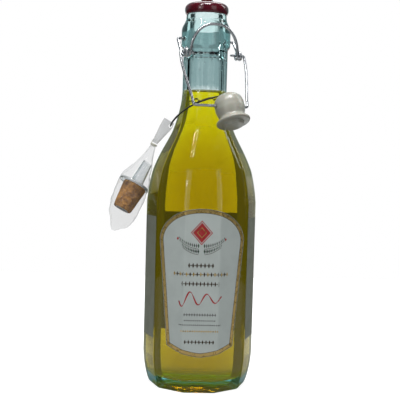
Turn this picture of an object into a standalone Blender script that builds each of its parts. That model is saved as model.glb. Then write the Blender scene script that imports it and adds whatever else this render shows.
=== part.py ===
"""A ten-sided glass bottle of olive oil with an open swing closure.

Blender script, metres, +Z up. The origin is the centre of the base, and the front label faces -Y.
Sizes are written in millimetres and turned into metres by MM.
"""

import math

import bmesh
import bpy
from mathutils import Matrix, Vector

MM = 0.001
GAP = 0.3  # between pieces that touch

# Glass. Radii are across the corners.
FACETS = 10
CORNER_POINTS = 4  # points on each rounded corner
BODY_RADIUS = 41.9
BODY_CORNER = 3.0  # fillet between two facets
BODY_LOW, BODY_HIGH = 25.0, 141.0
BASE_RADIUS = 34.5  # the flat that the bottle stands on
NECK_RADIUS = 16.8
COLLAR_RADIUS = 18.6
LIP_RADIUS = 14.2
LIP_TOP = 289.6
MOUTH_BORE = 9.6
NECK_BORE = 12.4
WALL = 3.5
FLOOR_EDGE, FLOOR_CENTRE = 8.6, 11.5
OIL_LEVEL = 226.0

# Red cap pushed over the lip
CAP_RADIUS = 16.7
CAP_LOW, CAP_TOP = 283.8, 293.0
CAP_NUB_RADIUS, CAP_NUB_TOP = 4.4, 296.4
CAP_SIDES = 32

# Labels, as skins on the facets
SKIN = 0.4
FRONT_TOP, FRONT_SHOULDER, FRONT_CORNER, FRONT_TIP = 137.4, 113.5, 35.3, 28.1
FRONT_WIDE, FRONT_NARROW = 70.8, 54.0  # measured round the facets
BACK_LOW, BACK_HIGH = 38.5, 130.0
BACK_EDGE_Y = -23.8  # the back label ends just before the corners of the front facets

# Swing closure. u runs along the pivot, v forward, and z up.
CLOSURE_TURN = math.radians(22.6)
LEVER_WIRE = 2.6
PIVOT_Z = 264.5
DIMPLE_RADIUS, DIMPLE_DEPTH = 1.9, 2.2
PIN_END = 17.4
LEVER_HALF = 23.6
COIL_V, COIL_Z = 12.5, 253.0
COIL_RADIUS, COIL_PITCH = 2.85, 3.0
ARCH_TOP_V, ARCH_TOP_Z = 20.0, 274.3
ARCH_SQUARE = 0.85  # below 1, the arch is fuller than an ellipse
ARCH_SKEW = -1.3
ARCH_STEPS = 10
BAIL_WIRE = 2.4
BAIL_END = 15.0
BAR_V, BAR_Z = 31.8, 213.0
BAIL_LEG = ((26.5, 0.0), (26.6, 3.0), (26.6, 9.0), (25.7, 18.0), (24.2, 28.0), (22.8, 36.0), (22.0, 44.5))
BAIL_BEND = 2.4
BAIL_SKEW = -1.1  # its foot is pushed a little to the left

# Ceramic stopper on the bail's bar
STOPPER_U = 5.9
STOPPER_LEAN = math.radians(25.0)
STOPPER_TILT = math.radians(4.0)  # it sits a little askew on the bar
STOPPER_DOME, STOPPER_WAIST, STOPPER_FLANGE, STOPPER_SPIGOT = 11.15, 9.6, 12.7, 7.6
STOPPER_END = 16.4
STOPPER_HOLE = 1.6
STOPPER_SIDES = 28

# Elastic string round the neck, and the bag that hangs on it
STRING = 0.9
STRING_HIGH, STRING_LOW = 223.0, 198.3
STRING_LOW_X = -25.6
STRING_TURN = 0.16  # how gently the string rounds the hole in the bag's header
BAG_TIE = Vector((-38.0, 0.0, 183.7))
BAG_DOWN = Vector((-0.387, -0.205, -0.899)).normalized()
BAG_UP = Vector((0.495, 0.0, 0.869)).normalized()
BAG_ACROSS = Vector((0.918, 0.0, -0.395)).normalized()
HEADER_ACROSS = Vector((0.869, 0.0, -0.495)).normalized()
BAG_SIDES = 20
HOLE_RADIUS = 1.3
TIE_RING, TIE_WIRE = 3.1, 1.1


def clear_scene():
    for obj in list(bpy.data.objects):
        bpy.data.objects.remove(obj, do_unlink=True)


def paint(name, colour, roughness, metallic=0.0, transmission=0.0):
    """A plain Principled material."""
    material = bpy.data.materials.new(name)
    material.use_nodes = True
    shader = material.node_tree.nodes["Principled BSDF"]
    shader.inputs["Base Color"].default_value = (*colour, 1.0)
    shader.inputs["Roughness"].default_value = roughness
    shader.inputs["Metallic"].default_value = metallic
    shader.inputs["Transmission Weight"].default_value = transmission
    material.diffuse_color = (*colour, 1.0)
    return material


def finish(name, bm, material, smooth_angle=30.0):
    """Turns a bmesh in millimetres into one named object in metres."""
    bmesh.ops.scale(bm, vec=(MM, MM, MM), verts=bm.verts)
    bmesh.ops.recalc_face_normals(bm, faces=bm.faces)
    mesh = bpy.data.meshes.new(name)
    bm.to_mesh(mesh)
    bm.free()
    mesh.materials.append(material)
    mesh.shade_smooth()
    mesh.set_sharp_from_angle(angle=math.radians(smooth_angle))
    obj = bpy.data.objects.new(name, mesh)
    bpy.context.scene.collection.objects.link(obj)
    return obj


def loft(rings, start=None, end=None):
    """Skins a run of rings with equal counts. An end point closes its side with a fan, else one face."""
    bm = bmesh.new()
    rows = [[bm.verts.new(point) for point in ring] for ring in rings]
    count = len(rows[0])
    for low, high in zip(rows, rows[1:]):
        for i in range(count):
            j = (i + 1) % count
            bm.faces.new((low[i], low[j], high[j], high[i]))
    for row, tip in ((rows[0], start), (rows[-1], end)):
        if tip is None:
            bm.faces.new(row)
            continue
        centre = bm.verts.new(tip)
        for i in range(count):
            bm.faces.new((row[i], row[(i + 1) % count], centre))
    return bm


def facet_ring(radius, fillet, z):
    """One level of the ten-sided form: an arc on each corner, and flats between the arcs."""
    fillet = min(fillet, 0.82 * radius)
    half = math.pi / FACETS
    ring = []
    for corner in range(FACETS):
        middle = -math.pi / 2 + half * (2 * corner + 1)
        for k in range(CORNER_POINTS):
            turn = middle - half + 2 * half * k / (CORNER_POINTS - 1)
            x = (radius - fillet) * math.cos(middle) + fillet * math.cos(turn)
            y = (radius - fillet) * math.sin(middle) + fillet * math.sin(turn)
            ring.append(Vector((x, y, z)))
    return ring


def round_ring(radius, z, sides):
    turns = [2 * math.pi * i / sides for i in range(sides)]
    return [Vector((radius * math.cos(t), radius * math.sin(t), z)) for t in turns]


def outer_profile():
    """Radius, corner fillet and height of the glass outside, from the heel to the lip."""
    body = BODY_CORNER
    heel = [(BASE_RADIUS, 6, 0), (36.9, 6, 0.8), (38.0, 5, 3.2), (39.4, 4, 8), (41.2, body, 17.8)]
    shoulder = [(BODY_RADIUS, body, BODY_LOW), (BODY_RADIUS, body, BODY_HIGH), (41.0, body, 149),
                (39.7, body, 156.7), (37.9, body, 164.4), (34.9, body, 172), (31.1, body, 180),
                (27.0, body, 187.6), (23.4, body, 195), (20.7, body, 203), (18.7, body, 210.8)]
    neck = [(17.3, body, 218.5), (NECK_RADIUS, body, 226), (NECK_RADIUS, body, 250), (17.1, 6, 256)]
    collar = [(17.9, 14, 259), (COLLAR_RADIUS, 15, 262), (COLLAR_RADIUS, 15, 271), (18.0, 15, 274),
              (16.5, 14, 277), (15.4, 13, 280), (15.2, 13, 283)]
    lip = [(LIP_RADIUS, 12, 284.2), (LIP_RADIUS, 12, LIP_TOP - 1.2), (LIP_RADIUS - 1.2, 11, LIP_TOP)]
    return heel + shoulder + neck + collar + lip


def inner_profile(inset=0.0):
    """Radius, corner fillet and height of the hollow, from the neck down to the floor."""
    body = 9.0
    upper = [(NECK_BORE, 10, OIL_LEVEL), (13.1, 9, 218.5), (14.7, body, 210.8), (17.0, body, 203),
             (19.8, body, 195), (23.5, body, 187.6), (27.6, body, 180), (31.4, body, 172),
             (34.4, body, 164.4), (36.3, body, 156.7)]
    lower = [(BODY_RADIUS - WALL, body, BODY_HIGH), (BODY_RADIUS - WALL, body, BODY_LOW),
             (37.6, body, 16), (34.2, body, 10.4), (28.0, body, FLOOR_EDGE)]
    return [(radius - inset, fillet, z + (inset if z < BODY_LOW else 0.0)) for radius, fillet, z in upper + lower]


def build_bottle(material):
    outside = [facet_ring(*level) for level in outer_profile()]
    mouth = [facet_ring(MOUTH_BORE + 0.8, 9, LIP_TOP), facet_ring(MOUTH_BORE, 9, LIP_TOP - 1.0),
             facet_ring(MOUTH_BORE, 9, 274), facet_ring(11.4, 10, 262), facet_ring(NECK_BORE, 10, 250)]
    inside = [facet_ring(*level) for level in inner_profile()]
    bm = loft(outside + mouth + inside, Vector((0, 0, 0)), Vector((0, 0, FLOOR_CENTRE)))
    bottle = finish("bottle", bm, material)
    for side in (-1, 1):
        cut_with_rod(bottle, closure_point(side * (COLLAR_RADIUS + 2), 0, PIVOT_Z),
                     closure_point(side * (COLLAR_RADIUS - DIMPLE_DEPTH), 0, PIVOT_Z), DIMPLE_RADIUS, 12)
    return bottle


def build_oil(material):
    levels = inner_profile(GAP)
    rings = [facet_ring(*level) for level in levels]
    bm = loft(rings, Vector((0, 0, OIL_LEVEL)), Vector((0, 0, FLOOR_CENTRE + GAP)))
    return finish("oil", bm, material)


def build_cap(material):
    wall = LIP_RADIUS + 0.7
    outside = [(CAP_RADIUS - 0.7, CAP_LOW), (CAP_RADIUS - 0.1, CAP_LOW + 0.9), (CAP_RADIUS, CAP_LOW + 2.0),
               (CAP_RADIUS, CAP_TOP - 3.0), (CAP_RADIUS - 0.4, CAP_TOP - 1.6), (CAP_RADIUS - 1.5, CAP_TOP - 0.4),
               (CAP_RADIUS - 2.6, CAP_TOP), (CAP_NUB_RADIUS + 0.6, CAP_TOP), (CAP_NUB_RADIUS, CAP_TOP + 0.6),
               (CAP_NUB_RADIUS, CAP_NUB_TOP - 0.8), (CAP_NUB_RADIUS - 0.8, CAP_NUB_TOP)]
    inside = [(wall, LIP_TOP + GAP), (wall, CAP_LOW)]
    top = [round_ring(radius, z, CAP_SIDES) for radius, z in reversed(outside)]
    hollow = [round_ring(radius, z, CAP_SIDES) for radius, z in reversed(inside)]
    bm = loft(top + hollow, Vector((0, 0, CAP_NUB_TOP)), Vector((0, 0, LIP_TOP + GAP)))
    return finish("cap", bm, material)


def label_band(name, low, high, material):
    """A thin ten-sided tube just clear of the glass, ready to be trimmed to a label."""
    near, far = BODY_RADIUS + GAP, BODY_RADIUS + GAP + SKIN
    fillet = BODY_CORNER + GAP
    levels = [(far, fillet + SKIN, low), (far, fillet + SKIN, high), (near, fillet, high), (near, fillet, low)]
    bm = bmesh.new()
    rows = [[bm.verts.new(point) for point in facet_ring(*level)] for level in levels]
    count = len(rows[0])
    for low_row, high_row in zip(rows, rows[1:] + rows[:1]):
        for i in range(count):
            j = (i + 1) % count
            bm.faces.new((low_row[i], low_row[j], high_row[j], high_row[i]))
    return finish(name, bm, material)


def facet_x(around):
    """How far a point lies sideways when it is this far round the front facets from their middle."""
    half_facet = (BODY_RADIUS - BODY_CORNER) * math.sin(math.pi / FACETS) + 1.0
    if abs(around) <= half_facet:
        return around
    return math.copysign(half_facet + (abs(around) - half_facet) * math.cos(2 * math.pi / FACETS), around)


def front_outline(steps=12):
    """The front label's edge, unrolled: an arched top, sides that taper, and a shallow pointed foot."""
    half_wide, half_narrow = FRONT_WIDE / 2, FRONT_NARROW / 2
    edge = []
    for i in range(steps + 1):
        turn = math.pi * i / steps
        edge.append((half_wide * math.cos(turn), FRONT_SHOULDER + (FRONT_TOP - FRONT_SHOULDER) * math.sin(turn)))
    for i in range(steps // 2 + 1):
        share = 2 * i / (steps // 2) - 1
        drop = (FRONT_CORNER - FRONT_TIP) * (1 - abs(share) ** 1.5)
        edge.append((half_narrow * share, FRONT_CORNER - drop))
    return [(facet_x(around), z) for around, z in edge]


def build_front_label(material):
    label = label_band("label_front", FRONT_TIP - 4, FRONT_TOP + 4, material)
    edge = front_outline()
    near, far = [[Vector((x, y, z)) for x, z in edge] for y in (-60, -10)]
    keep = finish("front_label_cutter", loft([near, far]), material)
    boolean(label, keep, "INTERSECT")
    return label


def build_back_label(material):
    label = label_band("label_back", BACK_LOW, BACK_HIGH, material)
    corners = ((-60, BACK_EDGE_Y), (60, BACK_EDGE_Y), (60, 60), (-60, 60))
    low, high = [[Vector((x, y, z)) for x, y in corners] for z in (BACK_LOW - 5, BACK_HIGH + 5)]
    keep = finish("back_label_cutter", loft([low, high]), material)
    boolean(label, keep, "INTERSECT")
    return label


def boolean(obj, cutter, operation):
    """Trims or cuts a piece with a hidden guide."""
    modifier = obj.modifiers.new(cutter.name, "BOOLEAN")
    modifier.operation = operation
    modifier.object = cutter
    cutter.hide_render = True
    cutter.display_type = "WIRE"


def cut_with_rod(obj, start, end, radius, sides):
    """Cuts a round hole from one point to another."""
    direction = (end - start).normalized()
    side = direction.orthogonal().normalized()
    other = direction.cross(side)
    rings = []
    for centre in (start, end):
        turns = [2 * math.pi * i / sides for i in range(sides)]
        rings.append([centre + radius * (side * math.cos(t) + other * math.sin(t)) for t in turns])
    cutter = finish(obj.name + "_cutter", loft(rings), obj.data.materials[0])
    boolean(obj, cutter, "DIFFERENCE")


def closure_point(u, v, z):
    """A point of the swing closure: u along its pivot, v forward, z up."""
    x = u * math.cos(CLOSURE_TURN) + v * math.sin(CLOSURE_TURN)
    y = u * math.sin(CLOSURE_TURN) - v * math.cos(CLOSURE_TURN)
    return Vector((x, y, z))


def rounded_path(points, radius, steps=4):
    """A run of straight lines with an arc in place of each bend."""
    path = [points[0]]
    for before, bend, after in zip(points, points[1:], points[2:]):
        back, on = (before - bend), (after - bend)
        angle = back.angle(on)
        cut = min(radius / math.tan(angle / 2), 0.49 * back.length, 0.49 * on.length)
        start, end = bend + cut * back.normalized(), bend + cut * on.normalized()
        if math.pi - angle < math.radians(12):
            path.append(bend)
            continue
        for k in range(steps + 1):
            t = k / steps
            path.append((1 - t) ** 2 * start + 2 * t * (1 - t) * bend + t ** 2 * end)
    path.append(points[-1])
    return path


def tube(path, diameter, sides, closed=False):
    """A round wire along a path, with flat ends unless it is a closed loop."""
    count = len(path)
    tangents = []
    for i in range(count):
        after = path[(i + 1) % count] if closed or i < count - 1 else path[i]
        before = path[i - 1] if closed or i > 0 else path[i]
        tangents.append((after - before).normalized())
    normal = tangents[0].orthogonal().normalized()
    rings = []
    for point, tangent in zip(path, tangents):
        normal = (normal - normal.dot(tangent) * tangent).normalized()
        side = tangent.cross(normal)
        turns = [2 * math.pi * i / sides for i in range(sides)]
        rings.append([point + diameter / 2 * (normal * math.cos(t) + side * math.sin(t)) for t in turns])
    if not closed:
        return loft(rings, path[0], path[-1])
    shift = min(range(sides), key=lambda k: (rings[-1][0] - rings[0][k]).length)
    rings.append([rings[0][(i + shift) % sides] for i in range(sides)])
    bm = bmesh.new()
    rows = [[bm.verts.new(point) for point in ring] for ring in rings[:-1]]
    rows.append([rows[0][(i + shift) % sides] for i in range(sides)])
    for low, high in zip(rows, rows[1:]):
        for i in range(sides):
            j = (i + 1) % sides
            bm.faces.new((low[i], low[j], high[j], high[i]))
    return bm


def lever_half():
    """Half of the lever's wire, from its pin through the arm and the coil to the top of the arch.

    The points are (u, v, z) with u positive.
    """
    reach = math.hypot(COIL_V, COIL_Z - PIVOT_Z)
    heading = math.atan2(COIL_Z - PIVOT_Z, COIL_V) - math.asin(COIL_RADIUS / reach)
    first = heading - math.pi / 2
    touch = Vector((LEVER_HALF, COIL_V + COIL_RADIUS * math.cos(first), COIL_Z + COIL_RADIUS * math.sin(first)))
    elbow = [Vector((PIN_END, 0, PIVOT_Z)), Vector((LEVER_HALF, 0, PIVOT_Z)), touch]
    half = rounded_path(elbow, 2.0)[:-1]
    last = 2 * math.pi
    steps = 15
    for k in range(steps + 1):
        turn = first + (last - first) * k / steps
        u = LEVER_HALF - COIL_PITCH * (turn - first) / (2 * math.pi)
        half.append(Vector((u, COIL_V + COIL_RADIUS * math.cos(turn), COIL_Z + COIL_RADIUS * math.sin(turn))))
    foot = half[-1]
    for k in range(1, ARCH_STEPS + 1):
        turn = math.pi / 2 * k / ARCH_STEPS
        rise = math.sin(turn)
        u = foot.x * math.cos(turn) ** ARCH_SQUARE
        half.append(Vector((u, foot.y + (ARCH_TOP_V - foot.y) * rise, foot.z + (ARCH_TOP_Z - foot.z) * rise)))
    return half


def build_lever(material):
    half = lever_half()
    left = [Vector((-point.x, point.y, point.z)) for point in half]
    foot = half[-1 - ARCH_STEPS]
    path = []
    for point in left[:-1] + half[::-1]:
        rise = max(0.0, (point.z - foot.z) / (ARCH_TOP_Z - foot.z)) if point.y > foot.y else 0.0
        path.append(closure_point(point.x + ARCH_SKEW * rise, point.y, point.z))
    return finish("lever", tube(path, LEVER_WIRE, 8), material, 50)


def build_bail(material):
    """The stopper's bail: ends through the lever's coils, two legs, and a bar across the foot."""
    slope = Vector((BAR_V - COIL_V, BAR_Z - COIL_Z)).normalized()
    length = math.hypot(BAR_V - COIL_V, BAR_Z - COIL_Z)
    legs = [(BAIL_END, 0.0)] + list(BAIL_LEG)
    plan = [(u, min(w, length)) for u, w in legs]
    outline = [(-u, w) for u, w in plan] + [(u, w) for u, w in reversed(plan)]
    skewed = [(u + BAIL_SKEW * w / length, w) for u, w in outline]
    points = [closure_point(u, COIL_V + slope.x * w, COIL_Z + slope.y * w) for u, w in skewed]
    return finish("bail", tube(rounded_path(points, BAIL_BEND), BAIL_WIRE, 8), material, 50)


def build_stopper(material):
    """A ceramic stopper: dome, waist, flange and spigot, turned about its leaning axis."""
    profile = [(3.2, -9.4), (6.2, -8.8), (8.8, -7.2), (10.5, -4.6), (STOPPER_DOME, -1.0), (STOPPER_DOME, 2.0),
               (10.7, 4.8), (10.0, 7.0), (STOPPER_WAIST, 8.4), (10.0, 9.8), (11.6, 11.0),
               (STOPPER_FLANGE, 12.0), (STOPPER_FLANGE, 13.0), (12.0, 13.7), (STOPPER_SPIGOT + 0.4, 13.9),
               (STOPPER_SPIGOT, 15.6), (6.4, STOPPER_END)]
    rings = [round_ring(radius, -depth, STOPPER_SIDES) for radius, depth in profile]
    bm = loft(rings, Vector((0, 0, 9.7)), Vector((0, 0, -STOPPER_END)))
    hole = closure_point(STOPPER_U, BAR_V, BAR_Z)
    lean = Matrix.Rotation(-STOPPER_LEAN, 4, closure_point(1, 0, 0))
    lean = lean @ Matrix.Rotation(-STOPPER_TILT, 4, closure_point(0, -1, 0))
    bmesh.ops.transform(bm, matrix=Matrix.Translation(hole) @ lean, verts=bm.verts)
    stopper = finish("stopper", bm, material, 40)
    reach = closure_point(STOPPER_DOME + 4, 0, 0)
    cut_with_rod(stopper, hole - reach, hole + reach, STOPPER_HOLE, 12)
    return stopper


def glass_radius(z):
    """The glass's corner radius at a height."""
    levels = [(level[2], level[0]) for level in outer_profile()]
    for (z0, r0), (z1, r1) in zip(levels, levels[1:]):
        if z0 <= z <= z1:
            return r0 + (r1 - r0) * (z - z0) / (z1 - z0)
    raise ValueError("height outside the glass")


def build_string(material, points=72):
    """An elastic loop: high on the right of the neck, drawn down on the left by the bag."""
    path = []
    for i in range(points):
        turn = 2 * math.pi * i / points
        lift = ((1 - math.cos(turn)) / 2) ** 0.31
        soft = (math.hypot(lift, STRING_TURN) - STRING_TURN) / (math.hypot(1, STRING_TURN) - STRING_TURN)
        z = STRING_LOW + (STRING_HIGH - STRING_LOW) * soft
        near = math.exp(-((turn - 2 * math.pi * (turn > math.pi)) / 0.42) ** 2)
        radius = glass_radius(z) + STRING / 2 + GAP + 0.25
        x, y = -radius * math.cos(turn), -radius * math.sin(turn)
        x += (STRING_LOW_X + glass_radius(STRING_LOW) + STRING) * near
        path.append(Vector((x, y, z)))
    return finish("string", tube(path, STRING, 6, closed=True), material, 60)


def oval(centre, across, along, wide, thick):
    """A section of the bag: an oval across the run of the film."""
    normal = along.cross(across).normalized()
    ring = []
    for i in range(BAG_SIDES):
        turn = 2 * math.pi * i / BAG_SIDES
        ring.append(centre + across * wide * math.cos(turn) + normal * thick * math.sin(turn))
    return ring


def build_bag(material):
    """A tied film bag with its flared header, out to the film's outside."""
    header = [(22.0, 4.4, 0.5, 0.6), (17.5, 4.6, 0.55, 0.9), (12.0, 3.8, 0.9, 0.6), (6.0, 2.8, 1.5, 0.2),
              (1.5, 2.2, 2.0, 0.0)]
    pouch = [(1.6, 2.2, 2.1, 0.0), (9.0, 3.7, 3.4, 0.0), (17.0, 6.4, 5.8, 0.0), (26.0, 9.7, 9.2, -1.0),
             (33.0, 11.6, 11.2, -1.2), (42.0, 12.4, 11.0, -0.9), (50.0, 12.2, 10.6, -0.4),
             (57.0, 11.4, 9.4, 0.2), (65.0, 8.6, 6.0, 1.2), (70.5, 4.6, 2.4, 0.4), (73.0, 1.6, 0.8, 0.0)]
    rings = []
    for reach, wide, thick, offset in header:
        centre = BAG_TIE + BAG_UP * reach + HEADER_ACROSS * offset
        rings.append(oval(centre, HEADER_ACROSS, BAG_UP, wide, thick))
    for reach, wide, thick, offset in pouch:
        centre = BAG_TIE + BAG_DOWN * reach + BAG_ACROSS * offset
        across = (BAG_ACROSS - BAG_ACROSS.dot(BAG_DOWN) * BAG_DOWN).normalized()
        rings.append(oval(centre, across, -BAG_DOWN, wide, thick))
    bm = loft(rings)
    bag = finish("bag", bm, material, 60)
    low = Vector((STRING_LOW_X, 0, STRING_LOW))
    cut_with_rod(bag, low + Vector((0, -6, 0)), low + Vector((0, 6, 0)), HOLE_RADIUS, 12)
    return bag


def build_tie(material, points=24):
    """The ring of wire that closes the bag's neck."""
    centre = BAG_TIE + BAG_DOWN * 0.2
    along = (BAG_UP - BAG_DOWN).normalized()
    side = along.orthogonal().normalized()
    other = along.cross(side)
    turns = [2 * math.pi * i / points for i in range(points)]
    path = [centre + TIE_RING * (side * math.cos(t) + other * math.sin(t)) for t in turns]
    return finish("bag_tie", tube(path, TIE_WIRE, 8, closed=True), material, 60)


def main():
    clear_scene()
    glass = paint("aqua_glass", (0.55, 0.78, 0.76), 0.03, transmission=1.0)
    steel = paint("bright_steel_wire", (0.62, 0.64, 0.66), 0.22, metallic=1.0)
    build_bottle(glass)
    build_oil(paint("olive_oil", (0.62, 0.56, 0.03), 0.02, transmission=1.0))
    build_cap(paint("red_plastic", (0.18, 0.01, 0.02), 0.18))
    paper = paint("label_paper", (0.45, 0.47, 0.46), 0.6)
    build_front_label(paper)
    build_back_label(paper)
    build_lever(steel)
    build_bail(steel)
    build_stopper(paint("white_ceramic", (0.72, 0.70, 0.65), 0.25))
    build_string(paint("black_elastic", (0.01, 0.01, 0.01), 0.7))
    build_bag(paint("clear_film", (0.85, 0.88, 0.92), 0.12, transmission=0.9))
    build_tie(paint("tie_wire", (0.75, 0.74, 0.68), 0.4))


main()
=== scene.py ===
import math
import random

import bmesh
import bpy
import numpy as np
from bpy.props import FloatProperty, FloatVectorProperty, IntProperty, PointerProperty
from mathutils import Matrix, Vector, noise


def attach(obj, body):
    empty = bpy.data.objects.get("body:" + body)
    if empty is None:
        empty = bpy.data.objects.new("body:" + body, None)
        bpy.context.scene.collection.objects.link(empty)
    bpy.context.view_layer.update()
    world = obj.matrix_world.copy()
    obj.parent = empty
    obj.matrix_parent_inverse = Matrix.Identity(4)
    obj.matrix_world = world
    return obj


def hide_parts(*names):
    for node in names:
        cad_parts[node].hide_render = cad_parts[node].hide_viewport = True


bl_info = {
    "name": "Swing-top oil bottle",
    "version": (1, 0, 0),
    "blender": (4, 5, 0),
    "location": "View3D > Sidebar > Oil Bottle",
    "description": "Dresses the ten-sided oil bottle: glass, oil, labels, closure, string and bagged pourer",
    "category": "Object",
}

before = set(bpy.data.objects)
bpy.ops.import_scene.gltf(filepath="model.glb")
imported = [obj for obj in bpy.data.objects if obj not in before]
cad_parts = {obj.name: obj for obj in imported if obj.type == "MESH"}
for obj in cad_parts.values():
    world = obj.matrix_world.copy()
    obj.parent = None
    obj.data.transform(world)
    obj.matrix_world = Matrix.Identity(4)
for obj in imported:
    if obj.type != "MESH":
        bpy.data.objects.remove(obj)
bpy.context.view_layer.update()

MM = 0.001
FACETS = 10
HALF_TURN = math.pi / FACETS
ARC_POINTS = 9  # points round each corner of the glass
NOISE_SEED = Vector((3.7, 1.9, 8.3))
ROD_SIDES = 40  # sides of a drill

# The straight body: radius across the corners and corner fillet, of the glass and of its hollow
BODY_RADIUS, BODY_FILLET = 41.9, 3.0
WALL_RADIUS, WALL_FILLET = 38.4, 9.0

# Glass outside, from heel to lip: radius across the corners, corner fillet, height, all in millimetres.
GLASS_HEEL = [(36.9, 6, 0.8), (38.0, 5, 3.2), (39.4, 4, 8), (41.2, 3, 17.8), (BODY_RADIUS, BODY_FILLET, 25)]
GLASS_SHOULDER = [(BODY_RADIUS, BODY_FILLET, 141), (41.0, 3, 149), (39.7, 3, 156.7), (37.9, 3, 164.4),
                  (34.9, 3, 172), (31.1, 3, 180), (27.0, 3, 187.6), (23.4, 3, 195), (20.7, 3, 203),
                  (18.7, 3, 210.8), (17.3, 3, 218.5), (16.8, 3, 226), (16.8, 3, 250), (16.85, 5, 256.4),
                  (17.3, 9, 257.3), (18.2, 13, 258.4), (18.6, 15, 259.8), (18.6, 15, 271), (18.0, 15, 274),
                  (16.5, 14, 277), (15.4, 13, 280), (15.2, 13, 283)]
GLASS_LIP = [(14.2, 12, 284.2), (14.2, 12, 288.4), (13.0, 11, 289.6), (10.4, 9, 289.6), (9.6, 9, 288.6),
             (9.6, 9, 274)]
GLASS_FOOT = [(36.2, 6, 0.3), (34.5, 6, 0.0), (32.5, 8, 0.0), (31.2, 10, 0.5), (29.0, 12, 1.9),
              (25.0, 14, 3.8), (20.0, 14, 5.3), (14.0, 11, 6.4), (7.0, 6, 7.0)]
FOOT_CENTRE = 7.2

# Hollow, from the foot of the inside wall up to the neck
HOLLOW_LOW = [(20.0, 12, 9.6), (28.0, 9, 8.6), (34.2, 9, 10.4), (37.6, 9, 16), (WALL_RADIUS, WALL_FILLET, 25)]
HOLLOW_HIGH = [(WALL_RADIUS, WALL_FILLET, 141), (37.4, 9, 149), (36.3, 9, 156.7), (34.4, 9, 164.4),
               (31.4, 9, 172), (27.6, 9, 180), (23.5, 9, 187.6), (19.8, 9, 195), (17.0, 9, 203),
               (14.7, 9, 210.8), (13.1, 9, 218.5), (12.4, 10, 226), (12.4, 10, 248.5)]
HOLLOW_STEP = [(12.2, 10, 250.1), (11.5, 10, 251.4), (11.1, 10, 252.6), (11.0, 10, 254.0), (11.0, 10, 262)]
HOLLOW_MIDDLE = (10.0, 7, 10.9)
FLOOR_CENTRE = 11.5
FLOOR_GAP = 0.05  # from the bottle's foot down to the pale floor
WHITE = (1.0, 1.0, 1.0)
SEAM = 0.12  # how far the moulding seam stands out
COLLAR_RADIUS = 18.6

# Swing closure: u runs along the pivot, v forward, z up.
CLOSURE_TURN = math.radians(22.6)
PIVOT_Z, PIN_END, LEVER_HALF = 264.5, 17.4, 23.6
DIMPLE_RADIUS, DIMPLE_DEPTH = 1.9, 2.2
COIL_V, COIL_Z, COIL_RADIUS, COIL_PITCH = 12.5, 253.0, 2.85, 3.0
ARCH_TOP_V, ARCH_TOP_Z, ARCH_SQUARE, ARCH_SKEW = 20.0, 274.3, 0.85, -1.3
BAIL_END, BAR_V, BAR_Z, BAIL_BEND, BAIL_SKEW = 15.0, 31.8, 213.0, 2.4, -1.1
BAIL_LEG = ((26.5, 0.0), (26.6, 3.0), (26.6, 9.0), (25.7, 18.0), (24.2, 28.0), (22.8, 36.0), (22.0, 44.5))
STOPPER_U, STOPPER_LEAN, STOPPER_TILT = 5.9, math.radians(25.0), math.radians(4.0)
STOPPER_PROFILE = [(3.2, -9.4), (6.2, -8.8), (8.8, -7.2), (10.5, -4.6), (11.15, -1.0), (11.15, 2.0),
                   (10.7, 4.8), (10.0, 7.0), (9.6, 8.4), (10.0, 9.8), (11.6, 11.0), (12.5, 11.8),
                   (12.7, 12.5), (12.5, 13.2), (11.8, 13.7), (9.0, 13.8), (8.0, 13.95), (7.8, 14.6),
                   (7.5, 15.7), (6.6, 16.4), (4.0, 16.45)]

# String and bag
STRING_HIGH, STRING_LOW, STRING_LOW_X, STRING_TURN = 223.0, 198.3, -25.6, 0.16
KNOT_TURN = 1.16
TIE_TURNS, TIE_RADIUS, TIE_WIRE = 2.3, 2.45, 0.6
BAG_TIE = Vector((-38.0, 0.0, 183.7))
BAG_DOWN = Vector((-0.387, -0.205, -0.899)).normalized()
BAG_UP = Vector((0.495, 0.0, 0.869)).normalized()
BAG_ACROSS = Vector((0.918, 0.0, -0.395)).normalized()
HEADER_ACROSS = Vector((0.869, 0.0, -0.495)).normalized()
BAG_HEADER = [(22.0, 4.4, 0.5, 0.6), (17.5, 4.6, 0.6, 0.9), (12.0, 3.8, 0.9, 0.6), (6.0, 2.8, 1.5, 0.2),
              (1.5, 2.0, 1.8, 0.0)]
BAG_POUCH = [(1.6, 2.0, 1.9, 0.0), (9.0, 3.7, 3.4, 0.0), (17.0, 6.4, 5.8, 0.0), (26.0, 9.9, 9.4, -1.0),
             (33.0, 12.0, 11.4, -1.2), (42.0, 12.4, 11.0, -0.9), (50.0, 12.2, 10.6, -0.4),
             (57.0, 11.4, 9.4, 0.2), (65.0, 8.6, 6.0, 1.2), (70.5, 4.6, 2.4, 0.4), (73.0, 1.6, 0.8, 0.0)]
CORK_TOP = Vector((-51.25, -6.5, 152.15))
CORK_DOWN = Vector((-0.453, -0.225, -0.862)).normalized()

# Labels, unrolled: distance round the facets from the front's middle, and height
FRONT_TOP, FRONT_SHOULDER, FRONT_CORNER, FRONT_TIP = 137.4, 113.5, 35.3, 28.1
FOOT_HALF, ARCH_HALF = 27.0, 35.4
EMBLEM_Z, EMBLEM_HALF, EMBLEM_HIGH = 120.0, 6.6, 7.4
BACK_LOW, BACK_HIGH, BACK_ROWS = 38.5, 130.0, 24
PRINT_MIDDLE = -0.7
PAPER_LIFT, INK_LIFT = 0.05, 0.015  # paper above the glass, and ink above the paper
STRIP = 0.4  # widest strip of ink that still follows a fold
GOLD, DARK, RED, GREEN, GREY = range(5)  # the front label's inks, in the order of its materials
FLAT_HALF = (BODY_RADIUS - BODY_FILLET) * math.sin(HALF_TURN)  # half of a facet's flat
FOLD = 2 * HALF_TURN * (BODY_FILLET + 0.1)  # paper taken up by a corner

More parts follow.
